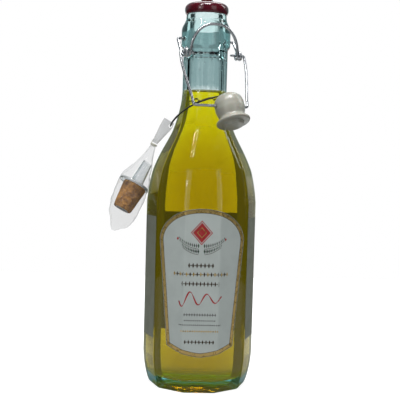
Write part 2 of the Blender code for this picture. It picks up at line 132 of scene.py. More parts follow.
# Camera, from the photograph's perspective
CAMERA_DISTANCE, CAMERA_HEIGHT = 0.682, 0.176
CAMERA_TURN, CAMERA_YAW = math.radians(2.4), math.radians(0.1)
CAMERA_PITCH, CAMERA_ROLL = math.radians(2.86), math.radians(1.59)
CAMERA_FOCUS = 883 / 400  # focal length over the picture's width


# Sizes and colours a user would change

class BottleSettings(bpy.types.PropertyGroup):
    glass_tint: FloatVectorProperty(name="Glass tint", description="Colour the glass lets through",
                                    subtype="COLOR", size=3, min=0, max=1, default=(0.36, 0.77, 0.77))
    glass_depth: FloatProperty(name="Glass depth", default=45.0, min=0,
                               description="How strongly the glass colours light, per metre")
    oil_tint: FloatVectorProperty(name="Oil tint", description="Colour the oil lets through", subtype="COLOR",
                                  size=3, min=0, max=1, default=(0.93, 0.896, 0.0))
    oil_depth: FloatProperty(name="Oil depth", description="How strongly the oil colours light, per metre",
                             default=200.0, min=0)
    oil_level: FloatProperty(name="Oil level", description="Height of the oil", default=224 * MM,
                             unit="LENGTH")
    meniscus: FloatProperty(name="Meniscus", description="How far the oil climbs the glass", default=1.9 * MM,
                            unit="LENGTH")
    oil_overlap: FloatProperty(name="Oil overlap", description="How far the oil reaches into the glass wall",
                               default=0.15 * MM, unit="LENGTH")
    cap_colour: FloatVectorProperty(name="Cap colour", description="Red of the plastic cap", subtype="COLOR",
                                    size=3, min=0, max=1, default=(0.085, 0.004, 0.012))


class LabelSettings(bpy.types.PropertyGroup):
    paper_colour: FloatVectorProperty(name="Paper colour", description="Ground of both labels",
                                      subtype="COLOR", size=3, min=0, max=1, default=(0.52, 0.57, 0.55))
    back_colour: FloatVectorProperty(name="Back colour", description="Ground of the back label",
                                     subtype="COLOR", size=3, min=0, max=1, default=(0.19, 0.20, 0.14))
    gold_colour: FloatVectorProperty(name="Gold colour", description="Printed gold border", subtype="COLOR",
                                     size=3, min=0, max=1, default=(0.62, 0.43, 0.15))
    thickness: FloatProperty(name="Paper thickness", description="Thickness of the label paper",
                             default=0.12 * MM, unit="LENGTH")
    border: FloatProperty(name="Border width", description="Width of the gold border", default=2.3 * MM,
                          unit="LENGTH")


class ClosureSettings(bpy.types.PropertyGroup):
    lever_wire: FloatProperty(name="Lever wire", description="Diameter of the lever's wire", default=2.2 * MM,
                              unit="LENGTH")
    bail_wire: FloatProperty(name="Bail wire", description="Diameter of the bail's wire", default=2.1 * MM,
                             unit="LENGTH")
    wire_sides: IntProperty(name="Wire sides", description="Sides of each wire's section", default=16, min=6)
    steel_colour: FloatVectorProperty(name="Steel colour", description="Colour of the wire", subtype="COLOR",
                                      size=3, min=0, max=1, default=(0.60, 0.61, 0.64))
    ceramic_colour: FloatVectorProperty(name="Ceramic colour", description="Glazed stopper", subtype="COLOR",
                                        size=3, min=0, max=1, default=(0.42, 0.41, 0.35))


class BagSettings(bpy.types.PropertyGroup):
    string_width: FloatProperty(name="String width", description="Diameter of the elastic string",
                                default=1.25 * MM, unit="LENGTH")
    film_colour: FloatVectorProperty(name="Film colour", description="Tint of the clear film",
                                     subtype="COLOR", size=3, min=0, max=1, default=(0.56, 0.62, 0.68))
    cork_colour: FloatVectorProperty(name="Cork colour", description="Ground colour of the cork",
                                     subtype="COLOR", size=3, min=0, max=1, default=(0.56, 0.25, 0.035))


class StageSettings(bpy.types.PropertyGroup):
    floor_size: FloatProperty(name="Floor size", description="Width of the pale floor", default=1.2,
                              unit="LENGTH")
    surroundings: FloatVectorProperty(name="Surroundings", description="Colour of the room around the bottle",
                                      subtype="COLOR", size=3, min=0, max=1, default=(0.34, 0.45, 0.46))
    back_light: FloatProperty(name="Back light", description="Brightness behind the bottle", default=1.05,
                              min=0)
    front_light: FloatProperty(name="Front light", description="Power of the soft light in front, in watts",
                               default=16.0, min=0)
    top_light: FloatProperty(name="Top light", description="Brightness above the bottle", default=0.8, min=0)


# Mesh helpers

def shade(mesh, smooth_angle):
    """Shades smooth, with sharp edges where faces meet at more than the angle in degrees."""
    mesh.shade_smooth()
    mesh.set_sharp_from_angle(angle=math.radians(smooth_angle))


def add_object(name, bm, materials, smooth_angle=40.0):
    """One smooth-shaded object in metres from a bmesh in millimetres."""
    bmesh.ops.scale(bm, vec=(MM, MM, MM), verts=bm.verts)
    bmesh.ops.recalc_face_normals(bm, faces=bm.faces)
    mesh = bpy.data.meshes.new(name)
    bm.to_mesh(mesh)
    bm.free()
    for material in materials:
        mesh.materials.append(material)
    shade(mesh, smooth_angle)
    obj = bpy.data.objects.new(name, mesh)
    bpy.context.scene.collection.objects.link(obj)
    return obj


def place(obj, body, slot, *nodes):
    """Rides on a body and stands for CAD nodes. The slot is not used."""
    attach(obj, body)
    if nodes:
        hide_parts(*nodes)
    return obj


def apply_modifiers(obj):
    """Keeps the shape that the modifiers give, without the modifiers."""
    graph = bpy.context.evaluated_depsgraph_get()
    mesh = bpy.data.meshes.new_from_object(obj.evaluated_get(graph))
    obj.modifiers.clear()
    obj.data = mesh


def round_turns(count):
    """Angles spaced evenly round a circle."""
    return [2 * math.pi * i / count for i in range(count)]


def add_rows(bm, rings):
    return [[bm.verts.new(point) for point in ring] for ring in rings]


def bridge(bm, rows, closed=True):
    """Faces between each row of vertices and the next, round closed rows or along open ones."""
    count = len(rows[0])
    for low, high in zip(rows, rows[1:]):
        for i in range(count if closed else count - 1):
            j = (i + 1) % count
            bm.faces.new((low[i], low[j], high[j], high[i]))


def loft(rings, start=None, end=None):
    """Skins a run of rings. An end point closes its side with a fan, and None with one face."""
    bm = bmesh.new()
    rows = add_rows(bm, rings)
    count = len(rows[0])
    bridge(bm, rows)
    for row, tip in ((rows[0], start), (rows[-1], end)):
        if tip is None:
            bm.faces.new(row)
            continue
        centre = bm.verts.new(tip)
        for i in range(count):
            bm.faces.new((row[i], row[(i + 1) % count], centre))
    return bm


def smooth_run(knots, values, at):
    """A curve through the knots that never overshoots them."""
    knots = np.asarray(knots, float)
    values = np.asarray(values, float)
    step = np.diff(knots)
    slope = np.diff(values) / step
    lean = np.zeros(len(knots))
    for i in range(1, len(knots) - 1):
        if slope[i - 1] * slope[i] > 0:
            before = 2 * step[i] + step[i - 1]
            after = step[i] + 2 * step[i - 1]
            lean[i] = (before + after) / (before / slope[i - 1] + after / slope[i])
    lean[0], lean[-1] = slope[0], slope[-1]
    k = np.clip(np.searchsorted(knots, at, side="right") - 1, 0, len(step) - 1)
    t = (at - knots[k]) / step[k]
    h = step[k]
    rise = values[k] * (1 + 2 * t) * (1 - t) ** 2 + values[k + 1] * t * t * (3 - 2 * t)
    return rise + h * lean[k] * t * (1 - t) ** 2 - h * lean[k + 1] * t * t * (1 - t)


def fine_levels(levels, step):
    """Levels every few millimetres along a smooth curve through the given ones."""
    heights = [level[2] for level in levels]
    count = max(2, int(round((heights[-1] - heights[0]) / step)))
    at = np.unique(np.concatenate([np.linspace(heights[0], heights[-1], count + 1), heights]))
    radii = smooth_run(heights, [level[0] for level in levels], at)
    fillets = smooth_run(heights, [level[1] for level in levels], at)
    return [(float(r), float(f), float(z)) for r, f, z in zip(radii, fillets, at)]


def fine_path(points, step, closed=False):
    """A smooth line through the points, sampled evenly."""
    points = [Vector(p) for p in points]
    if closed:
        points = points[-2:] + points + points[:3]
    run = [0.0]
    for a, b in zip(points, points[1:]):
        run.append(run[-1] + (b - a).length)
    first, last = (run[2], run[-3]) if closed else (run[0], run[-1])
    count = max(2, int(round((last - first) / step)))
    at = np.linspace(first, last, count + 1)
    axes = [smooth_run(run, [p[i] for p in points], at) for i in range(3)]
    path = [Vector(p) for p in zip(*axes)]
    return path[:-1] if closed else path


def facet_ring(radius, fillet, z, seam=0.0):
    """One level of the ten-sided form, with an arc on each corner and a moulding seam on two of them."""
    fillet = min(fillet, 0.82 * radius)
    arcs = []
    for corner in range(FACETS):
        middle = -math.pi / 2 + HALF_TURN * (2 * corner + 1)
        arc = []
        for k in range(ARC_POINTS):
            turn = middle - HALF_TURN + 2 * HALF_TURN * k / (ARC_POINTS - 1)
            proud = fillet + (seam if corner in (2, 7) and k == ARC_POINTS // 2 else 0.0)
            arc.append(Vector(((radius - fillet) * math.cos(middle) + proud * math.cos(turn),
                               (radius - fillet) * math.sin(middle) + proud * math.sin(turn), z)))
        arcs.append(arc)
    ring = []
    for arc, following in zip(arcs, arcs[1:] + arcs[:1]):
        start, end = arc[-1], following[0]
        inset = min(0.25, 1.0 / max((end - start).length, 0.1))
        ring += arc + [start.lerp(end, share) for share in (inset, 0.5, 1 - inset)]
    return ring


def round_ring(radius, z, sides):
    return [Vector((radius * math.cos(t), radius * math.sin(t), z)) for t in round_turns(sides)]


def lathe(profile, sides, step=0.5, start=None, end=None):
    """A turned form from (radius, height) points on a smooth line."""
    line = fine_path([(r, z, 0) for r, z in profile], step)
    rings = [round_ring(max(p.x, 0.02), p.y, sides) for p in line]
    return loft(rings, start, end)


def tube(path, width, sides, closed=False, plies=0, ply_depth=0.0, ply_pitch=2.0, taper=0):
    """A round wire or a twisted cord along a path. taper rounds off the ends over that many points."""
    count = len(path)
    normal = (path[1] - path[0]).orthogonal().normalized()
    rings = []
    run = 0.0
    for i, point in enumerate(path):
        after = path[(i + 1) % count] if closed or i < count - 1 else path[i]
        before = path[i - 1] if closed or i > 0 else path[i]
        tangent = (after - before).normalized()
        normal = (normal - normal.dot(tangent) * tangent).normalized()
        side = tangent.cross(normal)
        end = min(i, count - 1 - i)
        share = 1.0
        if taper and not closed and end < taper:
            share = math.sqrt(max(0.0, 1 - (1 - (end + 0.35) / taper) ** 2))
        ring = []
        for turn in round_turns(sides):
            swell = 1 + ply_depth * math.cos(plies * turn - 2 * math.pi * run / ply_pitch) if plies else 1.0
            ring.append(point + width / 2 * share * swell * (normal * math.cos(turn) + side * math.sin(turn)))
        rings.append(ring)
        run += (after - point).length if i < count - 1 or closed else 0.0
    if not closed:
        return loft(rings, path[0], path[-1])
    shift = min(range(sides), key=lambda k: (rings[-1][0] - rings[0][k]).length)
    bm = bmesh.new()
    rows = add_rows(bm, rings)
    rows.append([rows[0][(i + shift) % sides] for i in range(sides)])
    bridge(bm, rows)
    return bm


def cut_with_rod(obj, start, end, radius):
    """Cuts a round hole from one point to another, and keeps the result."""
    direction = (end - start).normalized()
    side = direction.orthogonal().normalized()
    other = direction.cross(side)
    rings = [[centre + radius * (side * math.cos(t) + other * math.sin(t)) for t in round_turns(ROD_SIDES)]
             for centre in (start, end)]
    rod = add_object("hole_guide", loft(rings), [])
    modifier = obj.modifiers.new("hole", "BOOLEAN")
    modifier.operation = "DIFFERENCE"
    modifier.object = rod
    apply_modifiers(obj)
    bpy.data.objects.remove(rod, do_unlink=True)


# Shader helpers

def add_node(tree, kind, settings=None, inputs=None):
    """A node with its settings. Each input is a value, or another node's output to link."""
    node = tree.nodes.new(kind)
    for key, value in (settings or {}).items():
        setattr(node, key, value)
    for key, value in (inputs or {}).items():
        if isinstance(value, bpy.types.NodeSocket):
            tree.links.new(value, node.inputs[key])
        else:
            node.inputs[key].default_value = value
    return node


def calculate(tree, operation, *terms, clamp=False):
    settings = {"operation": operation, "use_clamp": clamp}
    return add_node(tree, "ShaderNodeMath", settings, dict(enumerate(terms))).outputs["Value"]


def ease(tree, value, low, high, bottom=0.0, top=1.0):
    """Goes softly from bottom to top while the value goes from low to high."""
    soft = {"interpolation_type": "SMOOTHSTEP"}
    inputs = {"Value": value, "From Min": low, "From Max": high, "To Min": bottom, "To Max": top}
    return add_node(tree, "ShaderNodeMapRange", soft, inputs).outputs["Result"]


def blend(tree, share, below, above):
    """Goes from one colour to another by a share. Either may be another node's output."""
    ends = [end if isinstance(end, bpy.types.NodeSocket) else (*end, 1.0) for end in (below, above)]
    inputs = {"Factor": share, "A": ends[0], "B": ends[1]}
    return add_node(tree, "ShaderNodeMix", {"data_type": "RGBA"}, inputs).outputs["Result"]


def principled(name, colour, **sockets):
    """A material whose shader's own sockets hold the constant values."""
    material = bpy.data.materials.new(name)
    material.use_nodes = True
    shader = material.node_tree.nodes["Principled BSDF"]
    shader.inputs["Base Color"].default_value = (*colour, 1.0)
    for key, value in sockets.items():
        shader.inputs[key.replace("_", " ")].default_value = value
    material.diffuse_color = (*colour, 1.0)
    return material


def shader_of(material):
    return material.node_tree.nodes["Principled BSDF"]


def absorb(material, colour, density):
    """Colours light by the length of its way through the material."""
    tree = material.node_tree
    inputs = {"Color": (*colour, 1.0), "Density": density}
    volume = add_node(tree, "ShaderNodeVolumeAbsorption", inputs=inputs)
    tree.links.new(volume.outputs["Volume"], tree.nodes["Material Output"].inputs["Volume"])


def new_group(name, inputs, outputs):
    """An empty shader node group with named sockets."""
    group = bpy.data.node_groups.new(name, "ShaderNodeTree")
    for label, kind, value in inputs:
        socket = group.interface.new_socket(name=label, in_out="INPUT", socket_type=kind)
        socket.default_value = value
    for label, kind in outputs:
        group.interface.new_socket(name=label, in_out="OUTPUT", socket_type=kind)
    entry = group.nodes.new("NodeGroupInput")
    leave = group.nodes.new("NodeGroupOutput")
    where = group.nodes.new("ShaderNodeTexCoord")
    return group, entry, leave, where.outputs["Object"]


def group_node(material, name, **values):
    """Places a shared group in a material with its own values."""
    node = material.node_tree.nodes.new("ShaderNodeGroup")
    node.node_tree = bpy.data.node_groups[name]
    for key, value in values.items():
        node.inputs[key.replace("_", " ")].default_value = value
    return node


def link(material, source, socket):
    material.node_tree.links.new(source, shader_of(material).inputs[socket])


def build_ripple_group():
    """Slow waves and fine tooth as a surface normal."""
    sockets = [("Wave Scale", "NodeSocketFloat", 80.0), ("Wave Depth", "NodeSocketFloat", 0.3),
               ("Grain Scale", "NodeSocketFloat", 900.0), ("Grain Depth", "NodeSocketFloat", 0.1)]
    group, entry, leave, where = new_group("surface ripple", sockets, [("Normal", "NodeSocketVector")])
    normal = None
    for part, detail, distance in (("Wave", 1.0, 1 * MM), ("Grain", 3.0, 0.2 * MM)):
        texture = add_node(group, "ShaderNodeTexNoise", inputs={
            "Vector": where, "Scale": entry.outputs[part + " Scale"], "Detail": detail, "Roughness": 0.55})
        bump = add_node(group, "ShaderNodeBump", inputs={
            "Strength": entry.outputs[part + " Depth"], "Distance": distance,
            "Height": texture.outputs["Fac"]})
        if normal:
            group.links.new(normal, bump.inputs["Normal"])
        normal = bump.outputs["Normal"]
    group.links.new(normal, leave.inputs["Normal"])


def build_mottle_group():
    """Varies a colour in soft patches and small specks, and a roughness with the patches."""
    sockets = [("Colour", "NodeSocketColor", (0.5, 0.5, 0.5, 1.0)),
               ("Stain", "NodeSocketColor", (0.3, 0.3, 0.3, 1.0)),
               ("Scale", "NodeSocketFloat", 60.0), ("Amount", "NodeSocketFloat", 0.3),
               ("Speck Scale", "NodeSocketFloat", 900.0), ("Speck Amount", "NodeSocketFloat", 0.2),
               ("Smooth", "NodeSocketFloat", 0.3), ("Rough", "NodeSocketFloat", 0.5)]
    group, entry, leave, where = new_group(
        "colour mottle", sockets, [("Colour", "NodeSocketColor"), ("Roughness", "NodeSocketFloat")])
    masks = []
    for part, low, high in (("", 0.35, 0.7), ("Speck ", 0.6, 0.72)):
        texture = add_node(group, "ShaderNodeTexNoise", inputs={
            "Vector": where, "Scale": entry.outputs[part + "Scale"], "Detail": 4.0, "Roughness": 0.6})
        patches = ease(group, texture.outputs["Fac"], low, high)
        masks.append(calculate(group, "MULTIPLY", patches, entry.outputs[part + "Amount"], clamp=True))
    both = calculate(group, "MAXIMUM", *masks)
    colour = blend(group, both, entry.outputs["Colour"], entry.outputs["Stain"])
    group.links.new(colour, leave.inputs["Colour"])
    rough = add_node(group, "ShaderNodeMapRange", inputs={
        "Value": masks[0], "To Min": entry.outputs["Smooth"], "To Max": entry.outputs["Rough"]})
    group.links.new(rough.outputs["Result"], leave.inputs["Roughness"])


def mottle(material, colour, stain, **values):
    """Feeds a material's colour and roughness from the shared mottle."""
    node = group_node(material, "colour mottle", Colour=(*colour, 1.0), Stain=(*stain, 1.0), **values)
    link(material, node.outputs["Colour"], "Base Color")
    link(material, node.outputs["Roughness"], "Roughness")


def ripple(material, **values):
    """Feeds a material's normal from the shared ripple."""
    node = group_node(material, "surface ripple", **values)
    link(material, node.outputs["Normal"], "Normal")


def glass_material(settings):
    material = principled("aqua_glass", (1.0, 1.0, 1.0), Roughness=0.0, IOR=1.5, Transmission_Weight=1.0)
    ripple(material, Wave_Scale=90.0, Wave_Depth=0.055, Grain_Scale=620.0, Grain_Depth=0.05)
    absorb(material, settings.glass_tint, settings.glass_depth)
    return material


def oil_material(settings):
    """Oil that wets the glass, so it mirrors nothing there. Its glow stands for the light it scatters."""
    material = principled("olive_oil", (1.0, 1.0, 1.0), Roughness=0.0, IOR=1.47, Transmission_Weight=1.0,
                          Specular_Tint=(0.0, 0.0, 0.0, 1.0), Emission_Color=(0.042, 0.036, 0.0, 1.0),
                          Emission_Strength=1.0)
    ripple(material, Wave_Scale=50.0, Wave_Depth=0.02, Grain_Scale=300.0, Grain_Depth=0.0)
    absorb(material, settings.oil_tint, settings.oil_depth)
    return material


def cap_material(settings):
    material = principled("red_plastic", settings.cap_colour, IOR=1.5, Coat_Weight=0.5, Coat_Roughness=0.08,
                          Subsurface_Weight=0.15, Subsurface_Scale=0.003)
    mottle(material, settings.cap_colour, (0.30, 0.02, 0.04), Scale=45.0, Amount=0.35, Speck_Scale=1500.0,
           Speck_Amount=0.15, Smooth=0.16, Rough=0.3)
    ripple(material, Wave_Scale=200.0, Wave_Depth=0.15, Grain_Scale=2500.0, Grain_Depth=0.12)
    return material


def paper_material(name, colour):
    material = principled(name, colour, IOR=1.45, Sheen_Weight=0.05)
    dark = tuple(0.86 * c for c in colour)
    mottle(material, colour, dark, Scale=70.0, Amount=0.55, Speck_Scale=2600.0, Speck_Amount=0.35,
           Smooth=0.48, Rough=0.66)
    ripple(material, Wave_Scale=60.0, Wave_Depth=0.12, Grain_Scale=3800.0, Grain_Depth=0.5)
    return material


def ink_material(name, colour, smooth, rough, metallic=0.0):
    """Printed ink, a little uneven where the paper's fibres show."""
    material = principled(name, colour, Metallic=metallic, IOR=1.45)
    faded = tuple(min(1.0, 1.25 * c + 0.03) for c in colour)
    mottle(material, colour, faded, Scale=260.0, Amount=0.6, Speck_Scale=3200.0, Speck_Amount=0.45,
           Smooth=smooth, Rough=rough)
    ripple(material, Wave_Scale=60.0, Wave_Depth=0.1, Grain_Scale=3800.0, Grain_Depth=0.3 * (1 - metallic))
    return material


def steel_material(name, colour):
    material = principled(name, colour, Metallic=1.0, Specular_IOR_Level=0.5)
    dark = tuple(0.62 * c for c in colour)
    mottle(material, colour, dark, Scale=240.0, Amount=0.45, Speck_Scale=2200.0, Speck_Amount=0.4,
           Smooth=0.22, Rough=0.34)
    ripple(material, Wave_Scale=350.0, Wave_Depth=0.04, Grain_Scale=4200.0, Grain_Depth=0.08)
    return material


def ceramic_material(settings):
    material = principled("white_ceramic", settings.ceramic_colour, IOR=1.52, Coat_Weight=0.35,
                          Coat_Roughness=0.2, Subsurface_Weight=0.12, Subsurface_Scale=0.002)
    mottle(material, settings.ceramic_colour, (0.38, 0.35, 0.27), Scale=110.0, Amount=0.28,
           Speck_Scale=1700.0, Speck_Amount=0.35, Smooth=0.34, Rough=0.48)
    ripple(material, Wave_Scale=160.0, Wave_Depth=0.2, Grain_Scale=1500.0, Grain_Depth=0.25)
    return material


def elastic_material():
    material = principled("black_elastic", (0.012, 0.012, 0.012), Sheen_Weight=0.2, Sheen_Roughness=0.4)
    mottle(material, (0.010, 0.010, 0.010), (0.035, 0.033, 0.030), Scale=900.0, Amount=0.6,
           Speck_Scale=3000.0, Speck_Amount=0.6, Smooth=0.6, Rough=0.9)
    ripple(material, Wave_Scale=2200.0, Wave_Depth=0.3, Grain_Scale=6000.0, Grain_Depth=0.6)
    return material


def film_material(name, colour, clear, crease_opacity):
    """Thin film: see-through; whiter where it is creased, partly its own whitening and partly a painted
    highlight; denser and grey edge-on, a painted dark reflection.
    """
    material = principled(name, colour, Roughness=0.12, IOR=1.5, Specular_IOR_Level=0.6)
    tree = material.node_tree
    where = tree.nodes.new("ShaderNodeTexCoord").outputs["Object"]
    crease = add_node(tree, "ShaderNodeTexNoise", {"noise_type": "RIDGED_MULTIFRACTAL"},
                      {"Vector": where, "Scale": 70.0, "Detail": 4.0, "Roughness": 0.6}).outputs["Fac"]
    # Creases turn denser and whiter: partly the film's own whitening, partly a painted highlight.
    crease_haze_and_highlight = ease(tree, crease, 0.42, 0.9, clear, crease_opacity)
    # Seen edge-on the film turns denser and shows its grey: a painted reflection of the dark room.
    facing = add_node(tree, "ShaderNodeLayerWeight", inputs={"Blend": 0.4}).outputs["Facing"]
    link(material, calculate(tree, "MAXIMUM", calculate(tree, "POWER", facing, 2.5), crease_haze_and_highlight), "Alpha")
    link(material, blend(tree, crease_haze_and_highlight, tuple(0.45 * c for c in colour), (0.93, 0.95, 0.97)), "Base Color")
    bump = add_node(tree, "ShaderNodeBump", inputs={"Strength": 0.7, "Distance": 1.2 * MM, "Height": crease})
    link(material, bump.outputs["Normal"], "Normal")
    return material


def cork_material(settings):
    material = principled("cork", settings.cork_colour, IOR=1.4)
    mottle(material, settings.cork_colour, (0.15, 0.055, 0.008), Scale=330.0, Amount=0.85, Speck_Scale=750.0,
           Speck_Amount=1.0, Smooth=0.7, Rough=0.95)
    ripple(material, Wave_Scale=500.0, Wave_Depth=0.6, Grain_Scale=1400.0, Grain_Depth=1.0)
    return material


def clear_plastic_material():
    material = principled("clear_plastic", (0.93, 0.95, 0.96), Roughness=0.08, IOR=1.49,
                          Transmission_Weight=0.9)
    ripple(material, Wave_Scale=260.0, Wave_Depth=0.2, Grain_Scale=1800.0, Grain_Depth=0.15)
    return material


def white_plastic_material():
    material = principled("white_plastic", (0.78, 0.78, 0.74), IOR=1.47, Subsurface_Weight=0.2,
                          Subsurface_Scale=0.002)
    mottle(material, (0.78, 0.78, 0.74), (0.60, 0.58, 0.50), Scale=300.0, Amount=0.4, Speck_Scale=2000.0,
           Speck_Amount=0.2, Smooth=0.3, Rough=0.5)
    ripple(material, Wave_Scale=300.0, Wave_Depth=0.15, Grain_Scale=2200.0, Grain_Depth=0.2)
    return material


# Glass, oil and cap

def glass_radius(z):
    rows = GLASS_HEEL + GLASS_SHOULDER
    return float(np.interp(z, [row[2] for row in rows], [row[0] for row in rows]))


def add_seeds(glass):
    """Tiny air bubbles inside the glass wall, most of them in the neck and collar."""
    bm = bmesh.new()
    bm.from_mesh(glass.data)
    chance = random.Random(11)
    places = [(14.2, 228, 254)] * 55 + [(14.8, 260, 281)] * 25 + [(WALL_RADIUS, 30, 138)] * 30
    for radius, low, high in places:
        turn = chance.uniform(0, 2 * math.pi)
        centre = Vector((radius * math.cos(turn), radius * math.sin(turn), chance.uniform(low, high)))
        middle = Matrix.Translation(centre * MM)
        stretch = Matrix.Diagonal((1, 1, chance.uniform(1.0, 2.2), 1))
        made = bmesh.ops.create_icosphere(bm, subdivisions=2, radius=chance.uniform(0.12, 0.32) * MM,
                                          matrix=middle @ stretch)
        faces = {face for vert in made["verts"] for face in vert.link_faces}
        bmesh.ops.reverse_faces(bm, faces=list(faces))
    bm.to_mesh(glass.data)
    bm.free()


def build_glass(settings):
    foot = [facet_ring(*level) for level in reversed(GLASS_FOOT)]
    heel = [facet_ring(*level, seam=SEAM) for level in fine_levels(GLASS_HEEL, 1.2)]
    body = [facet_ring(BODY_RADIUS, BODY_FILLET, z, seam=SEAM) for z in range(31, 138, 6)]
    shoulder = [facet_ring(*level, seam=SEAM) for level in fine_levels(GLASS_SHOULDER, 1.0)]
    lip = [facet_ring(*level) for level in GLASS_LIP]
    step = [facet_ring(*level) for level in reversed(HOLLOW_STEP)]
    high = [facet_ring(*level) for level in reversed(fine_levels(HOLLOW_HIGH, 1.6))]
    wall = [facet_ring(WALL_RADIUS, WALL_FILLET, z) for z in range(131, 28, -10)]
    low = [facet_ring(*level) for level in reversed(fine_levels(HOLLOW_LOW[1:], 1.2))]
    floor = [facet_ring(*HOLLOW_LOW[0]), facet_ring(*HOLLOW_MIDDLE)]
    rings = foot + heel + body + shoulder + lip + step + high + wall + low + floor
    bm = loft(rings, Vector((0, 0, FOOT_CENTRE)), Vector((0, 0, FLOOR_CENTRE)))
    glass = add_object("bottle_glass", bm, [glass_material(settings)], 60)
    for side in (-1, 1):
        cut_with_rod(glass, closure_point(side * (COLLAR_RADIUS + 2), 0, PIVOT_Z),
                     closure_point(side * (COLLAR_RADIUS - DIMPLE_DEPTH), 0, PIVOT_Z), DIMPLE_RADIUS)
    add_seeds(glass)
    shade(glass.data, 60)
    return place(glass, "bottle", "aqua_glass", "bottle")


def build_oil(settings):
    overlap = settings.oil_overlap / MM
    level = settings.oil_level / MM
    low = [(r + overlap, f, z - overlap) for r, f, z in [HOLLOW_MIDDLE] + HOLLOW_LOW]
    climb = settings.meniscus / MM
    edge = HOLLOW_HIGH[-1][0] + overlap
    high = [(r + overlap, f, z) for r, f, z in HOLLOW_HIGH if z < level - 2]
    high += [(edge, 10, level), (edge, 10, level + climb)]
    rings = [facet_ring(*low[0]), facet_ring(*low[1])]
    rings += [facet_ring(*row) for row in fine_levels(low[2:], 1.2)]
    rings += [facet_ring(r, f, z) for r, f, z in fine_levels(high, 1.6)]
    for inset, rise in ((0.3, 0.62), (0.7, 0.36), (1.3, 0.17), (2.1, 0.06), (3.2, 0.0)):
        rings.append(facet_ring(edge - inset, 9, level + climb * rise))
    bm = loft(rings, Vector((0, 0, FLOOR_CENTRE - overlap)), Vector((0, 0, level)))
    oil = add_object("oil_fill", bm, [oil_material(settings)], 50)
    return place(oil, "bottle", "olive_oil", "oil")


def build_cap(settings):
    outside = [(15.35, 283.5), (15.75, 283.55), (16.1, 284.1), (16.5, 285.3), (16.7, 286.8), (16.6, 288.3),
               (16.2, 289.5), (15.4, 290.6), (14.0, 291.6), (11.5, 292.4), (8.5, 292.85), (5.6, 293.0),
               (4.7, 293.3), (4.4, 294.2), (4.35, 295.4), (3.9, 296.1), (3.0, 296.38), (1.5, 296.4)]
    inside = [(15.25, 283.55), (14.9, 284.2), (14.9, 285.0), (14.9, 287.0), (14.9, 289.9)]
    top = fine_path([(r, z, 0) for r, z in outside], 0.3)
    rings = [round_ring(p.x, p.y, 96) for p in reversed(top)]
    rings += [round_ring(r, z, 96) for r, z in inside]
    bm = loft(rings, Vector((0, 0, 296.4)), Vector((0, 0, 289.9)))
    cap = add_object("cap_red", bm, [cap_material(settings)], 50)
    return place(cap, "bottle", "red_plastic", "cap")


# Labels

def skin_point(around, z, lift):
    """A point of a skin on the glass. around is measured along the facets from the front's middle."""
    radius, fillet = BODY_RADIUS + lift, BODY_FILLET + lift
    half = (radius - fillet) * math.sin(HALF_TURN)
    arc = 2 * HALF_TURN * fillet
    beyond = abs(around) - half
    if beyond <= 0:
        return Vector((around, -(radius - fillet) * math.cos(HALF_TURN) - fillet, z))
    corner = int(beyond // (2 * half + arc))
    left = beyond - corner * (2 * half + arc)
    middle = -math.pi / 2 + HALF_TURN * (2 * corner + 1)
    turn = -math.pi / 2 + 2 * HALF_TURN * corner + min(left, arc) / fillet
    x = (radius - fillet) * math.cos(middle) + fillet * math.cos(turn)
    y = (radius - fillet) * math.sin(middle) + fillet * math.sin(turn)
    if left > arc:
        x -= (left - arc) * math.sin(turn)
        y += (left - arc) * math.cos(turn)
    return Vector((math.copysign(x, around) if around < 0 else x, y, z))


def fold_columns(reach):
    """Columns that are close together on the folds of the facets and wide apart on their flats."""
    columns = set(np.linspace(-reach, reach, int(reach) + 1).round(3))
    for corner in range(FACETS // 2):
        start = FLAT_HALF + corner * (2 * FLAT_HALF + FOLD)
        for k in range(-2, 11):
            at = round(start + FOLD * k / 8, 3)
            if at < reach:
                columns |= {at, -at}
    return sorted(columns)


def thicken(bm, thickness):
    """Turns a sheet to face away from the bottle and gives it its thickness."""
    bmesh.ops.recalc_face_normals(bm, faces=bm.faces)
    if sum(f.normal.dot(f.calc_center_median() * Vector((1, 1, 0))) for f in bm.faces) < 0:
        bmesh.ops.reverse_faces(bm, faces=bm.faces)
    bmesh.ops.solidify(bm, geom=bm.faces[:] + bm.edges[:] + bm.verts[:], thickness=-thickness)
    # The rim's faces come in another order on each run, so all are put in order by their place.
    for i, face in enumerate(sorted(bm.faces, key=lambda face: tuple(face.calc_center_median()))):
        face.index = i
    bm.faces.sort()


def build_front_paper(side, thickness, material):
    """A thin closed skin on the facets, from the points of its right edge."""
    bm = bmesh.new()
    columns = fold_columns(max(half for half, _ in side))
    bridge(bm, add_rows(bm, [[skin_point(max(-half, min(half, c)), z, PAPER_LIFT) for c in columns]
                             for half, z in side]), closed=False)
    bmesh.ops.remove_doubles(bm, verts=bm.verts, dist=0.004)
    bmesh.ops.dissolve_degenerate(bm, dist=0.002, edges=bm.edges)
    thicken(bm, thickness)
    return add_object("label_front_paper", bm, [material], 30)


def front_side(straight_steps=26, arch_steps=60):
    """The right half of the front label's edge, from the tip of the foot to the top of the arch."""
    edge = []
    for i in range(straight_steps):
        share = i / straight_steps
        edge.append((FOOT_HALF * share, FRONT_CORNER - (FRONT_CORNER - FRONT_TIP) * (1 - share ** 1.5)))
    for i in range(straight_steps):
        share = i / straight_steps
        edge.append((FOOT_HALF + (ARCH_HALF - FOOT_HALF) * share,
                     FRONT_CORNER + (FRONT_SHOULDER - FRONT_CORNER) * share))
    for i in range(arch_steps + 1):
        turn = math.pi / 2 * i / arch_steps
        edge.append((ARCH_HALF * math.cos(turn), FRONT_SHOULDER + (FRONT_TOP - FRONT_SHOULDER)
                     * math.sin(turn)))
    return edge


